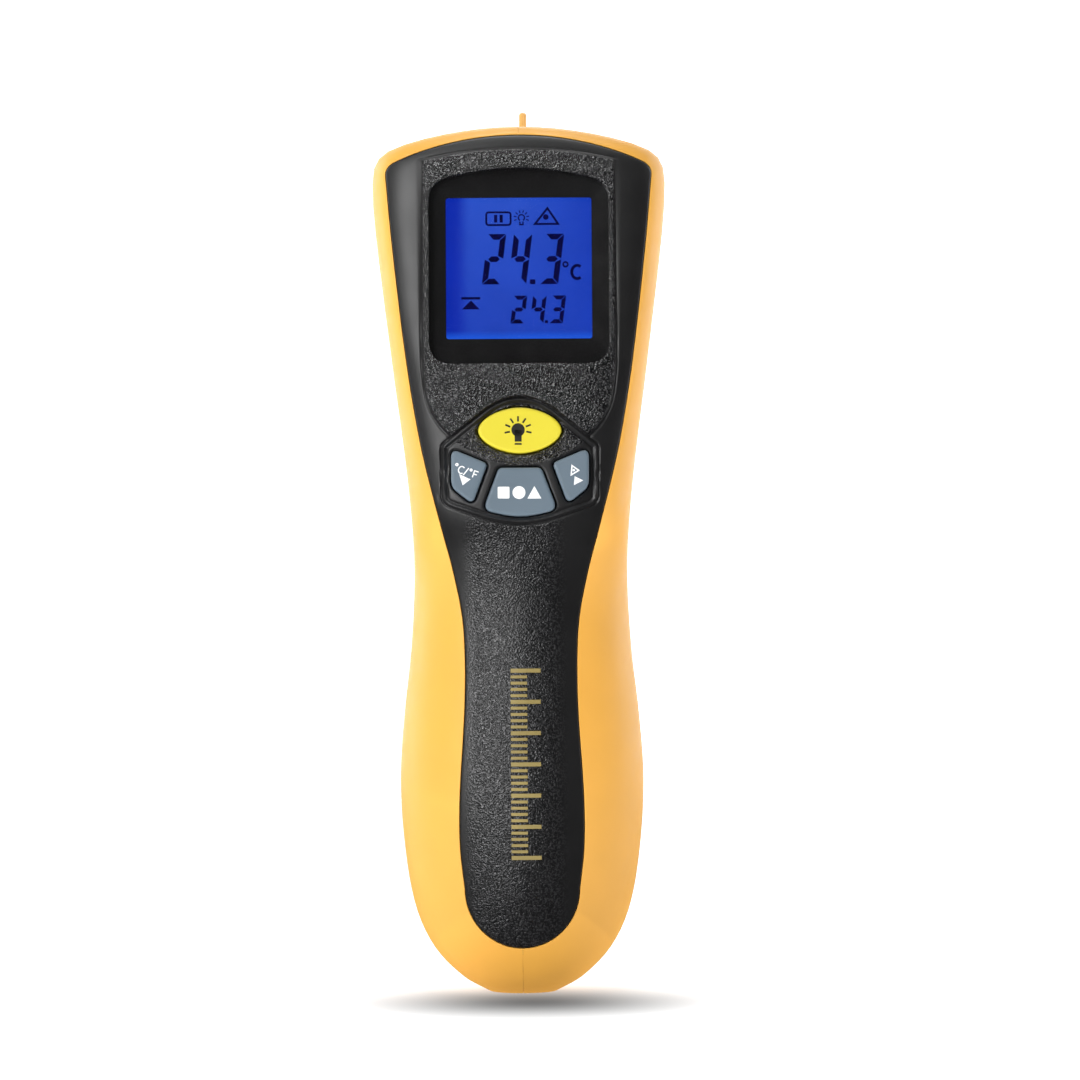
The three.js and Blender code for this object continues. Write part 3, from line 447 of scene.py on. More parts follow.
def turned(name, profile, sides=64, z=0.0):
    """Body of revolution round the Y axis at height z, from (radius, y) points. A profile that starts off
    the axis is closed on itself."""
    c, s = circle(1, sides=sides).T
    rings = [np.stack([r * c, np.full(sides, y), z + r * s], 1) for r, y in profile]
    return skin(name, rings, loop=profile[0][0] > 0)


def combine(target, other, operation):
    """Boolean of target with other, which is used up."""
    modifier = target.modifiers.new("boolean", "BOOLEAN")
    modifier.operation = operation
    modifier.object = other
    modifier.solver = "MANIFOLD"
    bpy.context.view_layer.update()
    result = bpy.data.meshes.new_from_object(target.evaluated_get(bpy.context.evaluated_depsgraph_get()))
    target.modifiers.clear()
    target.data = result
    bpy.data.objects.remove(other)
    if not result.vertices:
        raise RuntimeError(f"{target.name}: a {operation} left nothing")
    return target


def cut(target, *others):
    for other in others:
        combine(target, other, "DIFFERENCE")


def join(target, *others):
    for other in others:
        combine(target, other, "UNION")


def keep(target, other):
    return combine(target, other, "INTERSECT")


def copy_of(obj):
    twin = obj.copy()
    twin.data = obj.data.copy()
    bpy.context.scene.collection.objects.link(twin)
    return twin


def smooth_shade(obj, angle=32):
    obj.data.polygons.foreach_set("use_smooth", [True] * len(obj.data.polygons))
    obj.data.set_sharp_from_angle(angle=math.radians(angle))
    return obj


# ---------------- materials


def srgb(red, green, blue):
    """Linear colour from 8-bit sRGB."""
    levels = [value / 255 for value in (red, green, blue)]
    return (*[v / 12.92 if v <= 0.04 else ((v + 0.055) / 1.055) ** 2.4 for v in levels], 1.0)


def new_material(name):
    """Material, its node tree and its shader."""
    material = bpy.data.materials.new(name)
    material.use_nodes = True
    return material, material.node_tree, material.node_tree.nodes["Principled BSDF"]


def feed(tree, made, inputs):
    """Links each input of a node to its source, or gives it its value."""
    for key, value in inputs.items():
        if isinstance(value, bpy.types.NodeSocket):
            tree.links.new(value, made.inputs[key])
        else:
            made.inputs[key].default_value = value


def node(tree, kind, inputs, **settings):
    """New node with its settings and inputs."""
    made = tree.nodes.new(kind)
    for key, value in settings.items():
        setattr(made, key, value)
    feed(tree, made, inputs)
    return made


def position(tree):
    return node(tree, "ShaderNodeTexCoord", {}).outputs["Object"]


def attribute(tree, name):
    return node(tree, "ShaderNodeAttribute", {}, attribute_name=name).outputs["Fac"]


def noise(tree, scale_mm, detail=3.0):
    """Noise whose features are about scale_mm across."""
    inputs = {"Vector": position(tree), "Scale": 1 / (scale_mm * MM), "Detail": detail}
    return node(tree, "ShaderNodeTexNoise", inputs).outputs[0]


def spread(tree, value, low, high, from_low=0.3, from_high=0.7, **settings):
    """Value mapped from the usual range of a noise, or a given one, to low..high."""
    inputs = {"Value": value, "From Min": from_low, "From Max": from_high, "To Min": low, "To Max": high}
    return node(tree, "ShaderNodeMapRange", inputs, **settings).outputs["Result"]


def blend(tree, share, first, second, **settings):
    """Colour that goes from first to second as the share goes from 0 to 1."""
    inputs = {"Fac": share, "Color1": first, "Color2": second}
    return node(tree, "ShaderNodeMixRGB", inputs, **settings).outputs[0]


def tint(tree, value, dark, light):
    """Colour between dark and light, by a noise."""
    return blend(tree, spread(tree, value, 0, 1), dark, light)


def scaled(tree, value, factor, plus):
    """Value times factor, plus a third value."""
    inputs = {0: value, 1: factor, 2: plus}
    return node(tree, "ShaderNodeMath", inputs, operation="MULTIPLY_ADD").outputs[0]


def bump(tree, height, depth_mm, **inputs):
    """Normal of a bump of a depth."""
    inputs = {"Height": height, "Distance": depth_mm * MM, **inputs}
    return node(tree, "ShaderNodeBump", inputs).outputs[0]


def shade(colour, factor):
    return (*[c * factor for c in colour[:3]], 1.0)


def grained(name, colour, roughness, grain_mm=0.25, bump_mm=0.012, mottle=0.06, more=None):
    """Moulded, cast or drawn surface: fine grain in its bump, slow changes in its colour and gloss."""
    material, tree, shader = new_material(name)
    feed(tree, shader, {
        "Base Color": tint(tree, noise(tree, 9.0), shade(colour, 1 - mottle), shade(colour, 1 + mottle)),
        "Roughness": spread(tree, noise(tree, 2.5), roughness - 0.05, roughness + 0.05),
        "Normal": bump(tree, noise(tree, grain_mm), bump_mm),
        **(more or {}),
    })
    return material


def fascia_material():
    """Black plastic: pebbled where the mesh's grain attribute says, polished where polish says."""
    material, tree, shader = new_material("fascia_black")
    grain, polish = attribute(tree, "grain"), attribute(tree, "polish")
    pebbles = noise(tree, 0.31, 1.0)
    pebble_tops = spread(tree, pebbles, 0.3, 0.7, 0.48, 0.62)
    plain = tint(tree, noise(tree, 7.0), srgb(15, 15, 16), srgb(19, 19, 20))
    # Base colour follows the pebbles' height: painted light on their tops and painted shade in their
    # hollows.
    painted_pebble_shading = tint(tree, pebble_tops, srgb(4, 4, 5), srgb(40, 40, 42))
    worn = spread(tree, noise(tree, 5.0), 0.45, 0.51)
    fine = bump(tree, noise(tree, 0.2), 0.006)
    feed(tree, shader, {
        "Base Color": blend(tree, polish, blend(tree, grain, plain, painted_pebble_shading), srgb(14, 14, 15)),
        "Roughness": scaled(tree, polish, -0.27, scaled(tree, grain, -0.22, worn)),
        "Specular IOR Level": scaled(tree, grain, spread(tree, pebble_tops, -0.25, 1.0), 0.9),
        "Normal": bump(tree, pebbles, 0.35, Strength=grain, Normal=fine),
    })
    return material


def display_blue():
    """Backlit blue, darker along the left edge and brighter along the lower one."""
    material, tree, shader = new_material("display_blue")
    split = node(tree, "ShaderNodeSeparateXYZ", {"Vector": position(tree)})
    x, z = split.outputs["X"], split.outputs["Z"]
    middle = blend(tree, spread(tree, z, 0, 1, 0.119, 0.144), srgb(30, 66, 186), srgb(44, 84, 204))
    right = blend(tree, spread(tree, x, 0, 1, 0.0, 0.013), middle, srgb(24, 62, 186))
    across = spread(tree, x, 0, 1, -0.0115, -0.0085, interpolation_type="SMOOTHSTEP")
    above = blend(tree, across, srgb(12, 44, 178), right)
    lit = blend(tree, spread(tree, z, 0, 1, 0.1183, 0.1196), srgb(30, 92, 226), above)
    flaw = spread(tree, noise(tree, 6.0), 0.96, 1.04)
    feed(tree, shader, {
        "Emission Color": blend(tree, 1.0, lit, flaw, blend_type="MULTIPLY"),
        "Emission Strength": 0.9,
        "Base Color": srgb(10, 20, 60),
        "Roughness": 0.35,
        "Specular IOR Level": 0.1,
    })
    return material


def clear_material(name, tone):
    """Clear window with a faint haze in its gloss."""
    material, tree, shader = new_material(name)
    feed(tree, shader, {
        "Base Color": tint(tree, noise(tree, 12.0), shade(tone, 0.985), tone),
        "Roughness": spread(tree, noise(tree, 4.0), 0.02, 0.05),
        "Transmission Weight": 1.0,
        "IOR": 1.3,
    })
    return material


def board_green():
    """Solder mask with faint copper tracks under it."""
    material, tree, shader = new_material("circuit_board")
    inputs = {"Vector": position(tree), "Scale": 1 / (1.6 * MM)}
    cells = node(tree, "ShaderNodeTexVoronoi", inputs).outputs[0]
    feed(tree, shader, {
        "Base Color": tint(tree, cells, srgb(22, 92, 52), srgb(38, 120, 70)),
        "Roughness": 0.35,
        "Normal": bump(tree, cells, 0.03),
    })
    return material


METAL = {"Metallic": 1.0}
YELLOW = grained("shell_yellow", srgb(243, 179, 76), 0.45, grain_mm=0.22, bump_mm=0.010, mottle=0.02)
FASCIA_BLACK = fascia_material()
SATIN_BLACK = grained("satin_black", srgb(22, 22, 23), 0.4, grain_mm=0.3, bump_mm=0.02)
KEY_YELLOW = grained("key_yellow", srgb(218, 203, 48), 0.5, grain_mm=0.2, bump_mm=0.006, mottle=0.02)
KEY_GREY = grained("key_grey", srgb(99, 114, 126), 0.5, grain_mm=0.2, bump_mm=0.01, mottle=0.03)
MARK_WHITE = grained("mark_white", srgb(244, 245, 246), 0.5, mottle=0.01)
MARK_DARK = grained("mark_dark", srgb(30, 28, 22), 0.5, mottle=0.05)
MARK_GOLD = grained("mark_gold", srgb(150, 133, 80), 0.45, grain_mm=0.3, bump_mm=0.02, mottle=0.08)
SEGMENT_INK = grained("segment_ink", srgb(10, 10, 70), 0.7, mottle=0.1, more={"Specular IOR Level": 0.0})
CLEAR = clear_material("clear_window", (0.97, 0.98, 1.0, 1))
LENS = grained("lens_dark", srgb(34, 36, 44), 0.12, grain_mm=3.0, bump_mm=0.01, mottle=0.2)
BLUE = display_blue()
STEEL = grained("steel", srgb(186, 188, 190), 0.32, grain_mm=0.15, bump_mm=0.01, more=METAL)
ALUMINIUM = grained("aluminium", srgb(196, 198, 200), 0.4, grain_mm=0.2, bump_mm=0.015, more=METAL)
BRASS = grained("brass", srgb(200, 164, 84), 0.35, grain_mm=0.2, bump_mm=0.01, more=METAL)
RUBBER = grained("black_rubber", srgb(30, 30, 31), 0.75, grain_mm=0.4, bump_mm=0.02)
WHITE = grained("white_plastic", srgb(226, 226, 222), 0.45)
RED = grained("lead_red", srgb(166, 30, 24), 0.5)
JACKET = grained("battery_jacket", srgb(52, 54, 58), 0.35, grain_mm=0.5, bump_mm=0.01)
BOARD = board_green()

# ---------------- putting pieces in place


def dress(obj, name, body_name, material, slot, *nodes):
    """Names a finished piece, gives it its material, and sets it on its body for its CAD nodes."""
    obj.name = name
    obj.data.name = name
    obj.data.materials.clear()
    obj.data.materials.append(material)
    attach(obj, body_name)
    if nodes:
        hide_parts(*nodes)


# ---------------- fascia

KEYS = {
    "backlight_key": (oval_outline(), (0, 101.6), KEY_YELLOW, "key_yellow"),
    "unit_key": (key_outline(SIDE_KEY_CORNERS, -1), (-9.6, 93.6), KEY_GREY, "key_grey"),
    "mode_key": (key_outline(MODE_KEY_CORNERS), (0, 90.6), KEY_GREY, "key_grey"),
    "laser_key": (key_outline(SIDE_KEY_CORNERS), (9.6, 93.6), KEY_GREY, "key_grey"),
}
OUTLINE = fascia_outline()
PANEL = panel_outline()
KEYPAD = rounded(KEYPAD_CORNERS, 14)


def from_face(outline):
    """Outline of the face frame as x and z."""
    return np.stack([outline[:, 0], FACE_Z + outline[:, 1] * math.cos(FACE_TILT)], 1)


PANEL_RISE, PANEL_CROWN, PANEL_GROOVE = 0.2, 0.7, 0.16
KEYPAD_RIM = np.array([  # distance inside the keypad's outline, and relief there
    (-0.25, 0), (0, -0.3), (0.28, -0.05), (0.55, 0.12), (0.8, -0.05), (1.1, -0.3), (1.4, -0.05),
])


def eased(beyond, depth, reach):
    """Depth by which the surface eases off towards an opening that is this far away."""
    return depth * np.clip(1 - beyond / reach, 0, 1) ** 2


def fascia_relief(x, z):
    """Height of the fascia over the body's plain surface, at (x, z)."""
    d = np.clip(inside(OUTLINE, x, z), 0, EDGE_RADIUS)
    relief = np.sqrt(EDGE_RADIUS**2 - (EDGE_RADIUS - d) ** 2) - EDGE_RADIUS
    in_keypad = inside(KEYPAD, x, z)
    in_panel = inside(PANEL, x, z)
    raised = smooth(in_panel, -0.05, 0.3) * smooth(-in_keypad, -0.1, 0.15)
    relief += (PANEL_RISE + PANEL_CROWN * np.clip(1 - (x / PANEL_HALF) ** 2, 0, 1)) * raised
    relief -= PANEL_GROOVE * np.exp(-(((in_panel + 0.2) / 0.2) ** 2)) * (in_keypad < 0)
    relief += np.interp(in_keypad, *KEYPAD_RIM.T) * (in_keypad > KEYPAD_RIM[0, 0])
    relief -= eased(-inside(from_face(bezel_outline()), x, z), 0.12, 0.4)
    for outline, *_ in KEYS.values():
        relief -= eased(-inside(from_face(outline), x, z) - KEY_GAP, 0.2, 0.35)
    return relief


# Half width of the fascia's middle columns, which follow the panel, the keypad and the handle's texture.
COLUMN_HALF_WIDTHS = [
    (9, 6.5), (60, 6.5), (82, 12.6), (87, 14.45), (100, 14.45), (106, 16.3), (111, PANEL_HALF),
    (156, PANEL_HALF),
]
EDGE_STEPS = [0.0, 0.04, 0.1, 0.2, 0.4, 0.8, 1.4]  # grid lines this far from the fascia's edge
ROW_SPANS = [(9.8, 83, 0.8), (83, 111, 0.17), (111, 150, 0.3), (150, 153.9, 0.2)]  # from, to, step
BAND_COLUMNS, PANEL_COLUMNS = 12, 151


def row_half_width(middle, bend_share):
    """Half width of the fascia along a row that sinks by a share of the top arc's sag."""
    x, z = OUTLINE.T
    end = arc_z(ARC_START_X)
    side_x, side_z = OUTLINE[(x > ARC_START_X - 13) & (z >= FOOT_Z) & (z <= end + 1e-6)].T
    low, high = np.full(middle.shape, FOOT_Z), np.full(middle.shape, end)
    for _ in range(40):
        z = (low + high) / 2
        over = z + bend_share * (arc_z(0) - arc_z(np.interp(z, side_z, side_x))) > middle
        low, high = np.where(over, low, z), np.where(over, z, high)
    return np.interp(z, side_z, side_x)


def fascia_grid():
    """(x, z) of the fascia's vertices, row by row. Rows follow the arcs of its foot and its top."""
    rows = [FOOT_Z - FOOT_HEIGHT + e for e in EDGE_STEPS[:-1]]
    for low, high, step in ROW_SPANS:
        rows += list(np.linspace(low, high, round((high - low) / step) + 1)[1:])
    rows += [arc_z(0) - e for e in EDGE_STEPS[:-1]]
    middle = np.array(sorted(set(rows)))[:, None]
    foot = np.clip((30 - middle) / 21, 0, 1)
    top = hermite([(130, 0), (PANEL_TOP_Z, 0.656), (arc_z(0), 1)], middle) * (middle > 130)
    half = row_half_width(middle + foot * FOOT_HEIGHT, top)
    line = hermite(COLUMN_HALF_WIDTHS, middle)
    outer = half - EDGE_STEPS[-1]
    share = np.arange(1, BAND_COLUMNS) / BAND_COLUMNS
    right = [half - np.array(EDGE_STEPS), outer + (line - outer) * share]
    panel_part = line * np.linspace(1, -1, PANEL_COLUMNS)
    x = np.hstack([*right, panel_part, -right[1][:, ::-1], -right[0][:, ::-1]])[:, ::-1]
    rise = FOOT_HEIGHT * (1 - np.sqrt(np.clip(1 - (x / half) ** 2, 0, 1)))
    return x, middle + foot * rise - top * (arc_z(0) - arc_z(x))


def fascia_front():
    """The fascia's relief as a solid back to a plane inside the body."""
    x, z = fascia_grid()
    rows, columns = x.shape
    y = rear_y(x, z) - fascia_relief(x, z)
    front = np.stack([x, y, z], -1).reshape(-1, 3)
    at = np.arange(rows * columns).reshape(rows, columns)
    quads = np.stack([at[:-1, :-1], at[:-1, 1:], at[1:, 1:], at[1:, :-1]], -1).reshape(-1, 4).tolist()
    rim = np.concatenate([at[0], at[1:, -1], at[-1, -2::-1], at[-2:0:-1, 0]])
    back = front[rim].copy()
    back[:, 1] = FASCIA_BACK_Y
    first = len(front)
    ring = np.arange(len(rim))
    sides = np.stack([rim, first + ring, first + (ring + 1) % len(rim), np.roll(rim, -1)], 1).tolist()
    faces = quads + sides + [(first + ring).tolist()]
    return make_object("fascia", np.concatenate([front, back]), faces)


def set_attribute(obj, name, values):
    attribute = obj.data.attributes.new(name, "FLOAT", "POINT")
    attribute.data.foreach_set("value", np.asarray(values, np.float32))


def bezel_recess():
    """Cutter for the display's recess, whose floor slopes down to the display's opening."""
    rim = bezel_outline()
    angle = np.arctan2(rim[:, 1] - up_face(DISPLAY_Z), rim[:, 0])
    way = np.stack([np.cos(angle), np.sin(angle)], 1)
    reach = np.min(np.array(OPENING_HALF) / np.maximum(np.abs(way), 1e-6), axis=1)
    foot = way * reach[:, None] + [0, up_face(DISPLAY_Z)]
    steps = ((rim, 5), (rim, -RECESS["rim_depth"]), (foot, -RECESS["foot_depth"]))
    return skin("recess", [at_height(outline, height) for outline, height in steps], FACE)


def mark_finish(obj):
    """Stores where the fascia is pebbled and where it is polished."""
    co = np.empty(len(obj.data.vertices) * 3)
    obj.data.vertices.foreach_get("co", co)
    x, y, z = co.reshape(-1, 3).T / MM
    in_keypad = inside(KEYPAD, x, z)
    bezel = inside(from_face(bezel_outline()), x, z)
    sunk = smooth(y - face_y(z), 0.9, 1.5) * (bezel > -0.6)
    head = smooth(inside(PANEL, x, z), 0.1, 0.35) * (in_keypad < -0.2) * (1 - sunk)
    upper = (in_keypad > 1.3) * smooth(z - (95.2 + 0.032 * x * x), -0.3, 0.4)
    grip = smooth(-z, -90, -87) * (1 - smooth(np.abs(x + 1), 6.5, 10)) * (in_keypad < -0.3)
    set_attribute(obj, "grain", np.maximum(np.maximum(head, upper), grip * 0.65))
    set_attribute(obj, "polish", sunk)


def make_fascia():
    fascia = fascia_front()
    lip = body("lip", LIP_INSET, 0.5, LAST - 2, 10, 2)
    keep(lip, prism(grown(OUTLINE, FASCIA_LIP), BEHIND, FASCIA_BACK_Y - 1, ALONG_Y))
    join(fascia, lip)
    cut(fascia, body("hollow", HOLLOW_INSET, 0.6, LAST - 1, 10, 2))
    for x, y in BOARD_POSTS:
        join(fascia, prism(circle(POST_RADIUS, (x, y), 20), -POST_END, -2.4, FACE))
        cut(fascia, prism(circle(POST_HOLE, (x, y), 12), -POST_END - 1, -5, FACE))
    cut(fascia, bezel_recess(), prism(panel(OPENING_HALF, 0.5, (0, up_face(DISPLAY_Z))), -8, 5, FACE))
    for outline, *_ in KEYS.values():
        cut(fascia, prism(grown(outline, KEY_GAP), -8, 5, FACE))
    mark_finish(fascia)
    smooth_shade(fascia, 40)
    dress(fascia, "rear_fascia_relief", "housing", FASCIA_BLACK, "fascia_plastic", "rear_fascia")


# ---------------- shells


def fascia_opening():
    """Cutter for the shells' opening, whose edge is rounded where it meets the surface."""

    def ring(grow, y=None, below=0.0):
        """The fascia's outline, grown, on one plane or below the body's surface."""
        x, z = grown(OUTLINE, grow).T
        return np.stack([x, rear_y(x, z) + below if y is None else np.full(x.shape, y), z], 1)

    wide = FASCIA_GAP + EDGE_RADIUS
    rings = [ring(wide, BEHIND), ring(wide, below=-0.4)]
    for t in np.linspace(0, math.pi / 2, 5):
        grow = FASCIA_GAP + EDGE_RADIUS * (1 - math.sin(t))
        rings.append(ring(grow, below=EDGE_RADIUS * (1 - math.cos(t))))
    rings.append(ring(FASCIA_GAP, FASCIA_BACK_Y))
    return skin("opening", rings)


def within_body(obj):
    """The part of a solid that is inside the body's surface."""
    return keep(obj, body("skin", 0.05, 0, LAST, 10, 3))


def shell_walls():
    walls = body("walls", 0, 0, LAST)
    cut(walls, body("cavity", WALL, 1.2, LAST, 10, 2, past_nose=2))
    cut(walls, fascia_opening())
    cut(walls, prism(grown(rounded(DOOR_CORNERS), 0.2), 0, AHEAD, ALONG_Y))
    cut(walls, box((-SLOT_HALF, SLOT_HALF), SLOT_Y, SLOT_Z))
    for y, z, _ in HOUSING_SCREWS:
        join(walls, within_body(rod((y, z), BOSS_RADIUS, -30, 30)))
    for side in (-1, 1):
        start, end = sorted((side * 8.8, side * 30))
        join(walls, within_body(rod(TRIGGER_PIVOT, 2.6, start, end)), within_body(hinge_lug(side)))
    return walls


def hinge_lug(side):
    y, z = DOOR_HINGE
    ear = rounded([
        (y - KNUCKLE_RADIUS, z + KNUCKLE_RADIUS, 1.2),
        (y + KNUCKLE_RADIUS, z + KNUCKLE_RADIUS, 1.2),
        (y + KNUCKLE_RADIUS, 3.4, 0.2),
        (y - KNUCKLE_RADIUS - 0.8, 2.2, 0.2),
    ])
    start, end = sorted((side * LUG_FROM, side * LUG_TO))
    return prism(ear, start, end, ALONG_X)


def tongue_room(clearance, to_x):
    half = TONGUE["half"] + clearance
    return box((-TONGUE["reach"] - clearance, to_x), (-half, half), (-1, TONGUE["height"] + clearance))


def make_shell(walls, side):
    shell = copy_of(walls)
    span = (-30, -SEAM) if side < 0 else (SEAM, 30)
    keep(shell, box(span, (BEHIND, 80), (-5, 170)))
    if side > 0:
        fin = plate("fin", rounded(FIN_CORNERS), FIN_X[0], FIN_X[1], 0.5, ALONG_X, both=True)
        join(shell, fin, keep(copy_of(walls), tongue_room(0, 1)))
    else:
        cut(shell, tongue_room(0.2, 0))
    for y, z, head_x in HOUSING_SCREWS:
        cut(shell, rod((y, z), 1.4, -30, 0) if side < 0 else rod((y, z), 1.4, 0, SCREW_TIP_X + 1))
        if side < 0:
            cut(shell, rod((y, z), SCREW_HEAD_ROOM, -30, 2.2 - head_x))
    cut(shell, rod(TRIGGER_PIVOT, PIN_RADIUS + 0.2, -10.6, 10.6))
    cut(shell, rod(DOOR_HINGE, PIN_RADIUS + 0.1, -6.5, 6.5))
    smooth_shade(shell)
    name = "left_shell" if side < 0 else "right_shell"
    dress(shell, name + "_moulding", "housing", YELLOW, "shell_plastic", name)


def make_screws():
    """Pan-head screws with a cross recess."""
    for i, (y, z, head_x) in enumerate(HOUSING_SCREWS):
        length = head_x + SCREW_TIP_X
        head = [(0, 0), (1.9, 0), (2.2, 0.25), (2.3, 0.7), (2.3, 2)]
        screw = turned("screw", [*head, (1.1, 2), (1.1, length - 1), (0, length)], 32)
        for x, z_half in ((1.4, 0.28), (0.28, 1.4)):
            cut(screw, box((-x, x), (-1, 1.1), (-z_half, z_half)))
        screw.data.transform(
            Matrix.Translation((-head_x * MM, y * MM, z * MM)) @ Matrix.Rotation(-math.pi / 2, 4, "Z")
        )
        smooth_shade(screw, 30)
        name = f"housing_screw_{i + 1}"
        dress(screw, name + "_detailed", "housing", STEEL, "steel", name)


# ---------------- keys and their signs


def make_key(name, outline, stem, material, slot):
    back = -KEY_FLANGE["depth"] - KEY_FLANGE["thick"]
    key = plate(name, outline, back, KEY_PROUD, 0.4, FACE, steps=6, reach=0.5)
    flange = grown(outline, KEY_FLANGE["reach"])
    join(key, plate("flange", flange, back, -KEY_FLANGE["depth"], 0.2, FACE))
    stem_outline = circle(KEY_STEM_RADIUS, (stem[0], up_face(stem[1])), 20)
    join(key, prism(stem_outline, -KEY_STEM_END, back + 0.4, FACE))
    smooth_shade(key, 40)
    dress(key, name + "_cap", name + "_body", material, slot, name)


class Signs:
    """Flat signs as thin plates, collected as outlines in x and z."""

    def __init__(self):
        self.outlines = []
        self.place((0, 0), 0)

    def place(self, centre, degrees):
        """Sets the shapes that follow on this centre, turned by these degrees."""
        c, s = math.cos(math.radians(degrees)), math.sin(math.radians(degrees))
        self.centre, self.turn = np.array(centre, float), np.array([[c, s], [-s, c]])

    def shape(self, points):
        self.outlines.append(self.centre + np.array(points, float) @ self.turn)

    def disc(self, centre, radius, sides=28):
        self.shape(circle(radius, centre, sides))

    def line(self, points, width, closed=False):
        """Stroke along points, as one quad for each stretch, with shared mitres."""
        points = np.array(points, float)
        ahead = np.roll(points, -1, 0) - points
        if not closed:
            ahead[-1] = ahead[-2]
        ahead = ahead / np.linalg.norm(ahead, axis=1)[:, None]
        behind = np.roll(ahead, 1, 0)
        if not closed:
            behind[0] = ahead[0]
        along = ahead + behind
        along = along / np.linalg.norm(along, axis=1)[:, None]
        cosine = np.sum(along * ahead, axis=1)[:, None]
        offset = np.stack([-along[:, 1], along[:, 0]], 1) * width / 2 / cosine
        left, right = points + offset, points - offset
        for i in range(len(points) if closed else len(points) - 1):
            j = (i + 1) % len(points)
            self.shape([left[i], left[j], right[j], right[i]])

    def arc(self, centre, radius, start, end, width, squash=1.0, sides=20):
        a = np.radians(np.linspace(start, end, sides + 1))
        points = np.stack([centre[0] + squash * radius * np.cos(a), centre[1] + radius * np.sin(a)], 1)
        whole = end - start >= 360
        self.line(points[:-1] if whole else points, width, whole)

    def piece(self, name, body_name, material, slot, height_at, thick=0.03):
        """One mesh of all the shapes, standing on the surface whose front is y = height_at(x, z)."""
        points, faces = [], []
        for outline in self.outlines:
            x, z = outline.T
            front = np.stack([x, height_at(x, z) - thick, z], 1)
            back = np.stack([x, height_at(x, z) + thick, z], 1)
            first, ring = len(points), np.arange(len(outline))
            points += [*front, *back]
            faces += (first + np.array(strip_faces(2, len(ring)))).tolist()
            faces += [(first + ring).tolist(), (first + len(ring) + ring).tolist()]
        obj = make_object(name, points, faces)
        dress(obj, name, body_name, material, slot)


def face_plane(depth):
    """y of the plane at a depth behind the display face, as a function of x and z."""
    shift = depth / math.cos(FACE_TILT)
    return lambda x, z: face_y(z) + shift + 0 * x


def rays_round(signs, centre, reach, angles, width):
    """Short strokes round a centre, each from the first reach to the second."""
    for a in np.radians(angles):
        way = np.array([math.cos(a), math.sin(a)])
        signs.line([np.array(centre) + way * r for r in reach], width)


def backlight_sign(signs):
    """Light bulb with rays."""
    x, z = centre = (-0.3, 101.6)
    radius, neck, width = 1.2, 0.624, 0.31
    signs.disc(centre, radius)
    signs.shape([(x - neck, z), (x + neck, z), (x + neck, z - 2.1), (x - neck, z - 2.1)])
    signs.line([(x - neck, z - 2.52), (x + neck, z - 2.52)], width)
    rays_round(signs, centre, (1.5, 2.46), np.linspace(-12, 192, 7), width)


def unit_sign(signs):
    """Both unit signs with a slash between them, and a small triangle."""
    width = 0.21
    signs.shape([(-10.85, 93.75), (-8.85, 92.8), (-10.25, 91.75)])
    signs.place((-9.35, 94.1), -20)
    signs.arc((-2.26, 0.62), 0.2, 0, 360, width, sides=16)
    signs.arc((-1.15, 0.0), 0.64, 48, 312, width, 0.85, sides=16)
    signs.line([(-0.56, -0.75), (-0.04, 0.75)], width)
    signs.arc((0.46, 0.56), 0.17, 0, 360, width, sides=16)
    signs.line([(1.1, -0.6), (1.1, 0.66)], width)
    signs.line([(1.0, 0.66), (1.85, 0.66)], width)
    signs.line([(1.1, 0.06), (1.7, 0.06)], width)


def mode_sign(signs):
    signs.shape(panel((1.05, 1.05), 0.2, (-2.95, 90.4), 3))
    signs.disc((-0.2, 90.4), 1.15)
    signs.shape([(1.3, 89.3), (3.8, 89.3), (2.55, 91.55)])


def laser_sign(signs):
    """Open triangle round a dot, and a small triangle."""
    signs.line([(9.3, 95.15), (10.5, 94.3), (9.15, 93.5)], 0.24, True)
    signs.disc((9.6, 94.33), 0.22, 14)
    signs.shape([(9.75, 93.25), (11.3, 92.5), (9.6, 91.65)])


def make_key_signs():
    rows = [
        ("backlight_key", backlight_sign, MARK_DARK), ("mode_key", mode_sign, MARK_WHITE),
        ("unit_key", unit_sign, MARK_WHITE), ("laser_key", laser_sign, MARK_WHITE),
    ]
    for key, draw, material in rows:
        signs = Signs()
        draw(signs)
        signs.piece(key + "_sign", key + "_body", material, KEYS[key][3], face_plane(-KEY_PROUD))


# ---------------- display

SEGMENTS = {"2": "abged", "3": "abgcd", "4": "fgbc"}
SLANT = 0.126


def digit(signs, number, x, z, width, height, thick):
    """Seven-segment digit that stands on (x, z) and leans to the right."""
    t, half, gap = thick, height / 2, thick * 0.09
    parts = {
        "a": [(gap, height), (width - gap, height), (width - t - gap, height - t), (t + gap, height - t)],
        "d": [(gap, 0), (width - gap, 0), (width - t - gap, t), (t + gap, t)],
        "g": [
            (t / 2 + gap, half), (t + gap, half + t / 2), (width - t - gap, half + t / 2),
            (width - t / 2 - gap, half), (width - t - gap, half - t / 2), (t + gap, half - t / 2),
        ],
        "f": [(0, height - gap), (t, height - t - gap), (t, half + t / 2 + gap), (0, half + gap)],
        "e": [(0, gap), (t, t + gap), (t, half - t / 2 - gap), (0, half - gap)],
    }
    parts["b"] = [(width - px, pz) for px, pz in parts["f"]]
    parts["c"] = [(width - px, pz) for px, pz in parts["e"]]
    for segment in SEGMENTS[number]:
        signs.shape([(x + px + SLANT * pz, z + pz) for px, pz in parts[segment]])


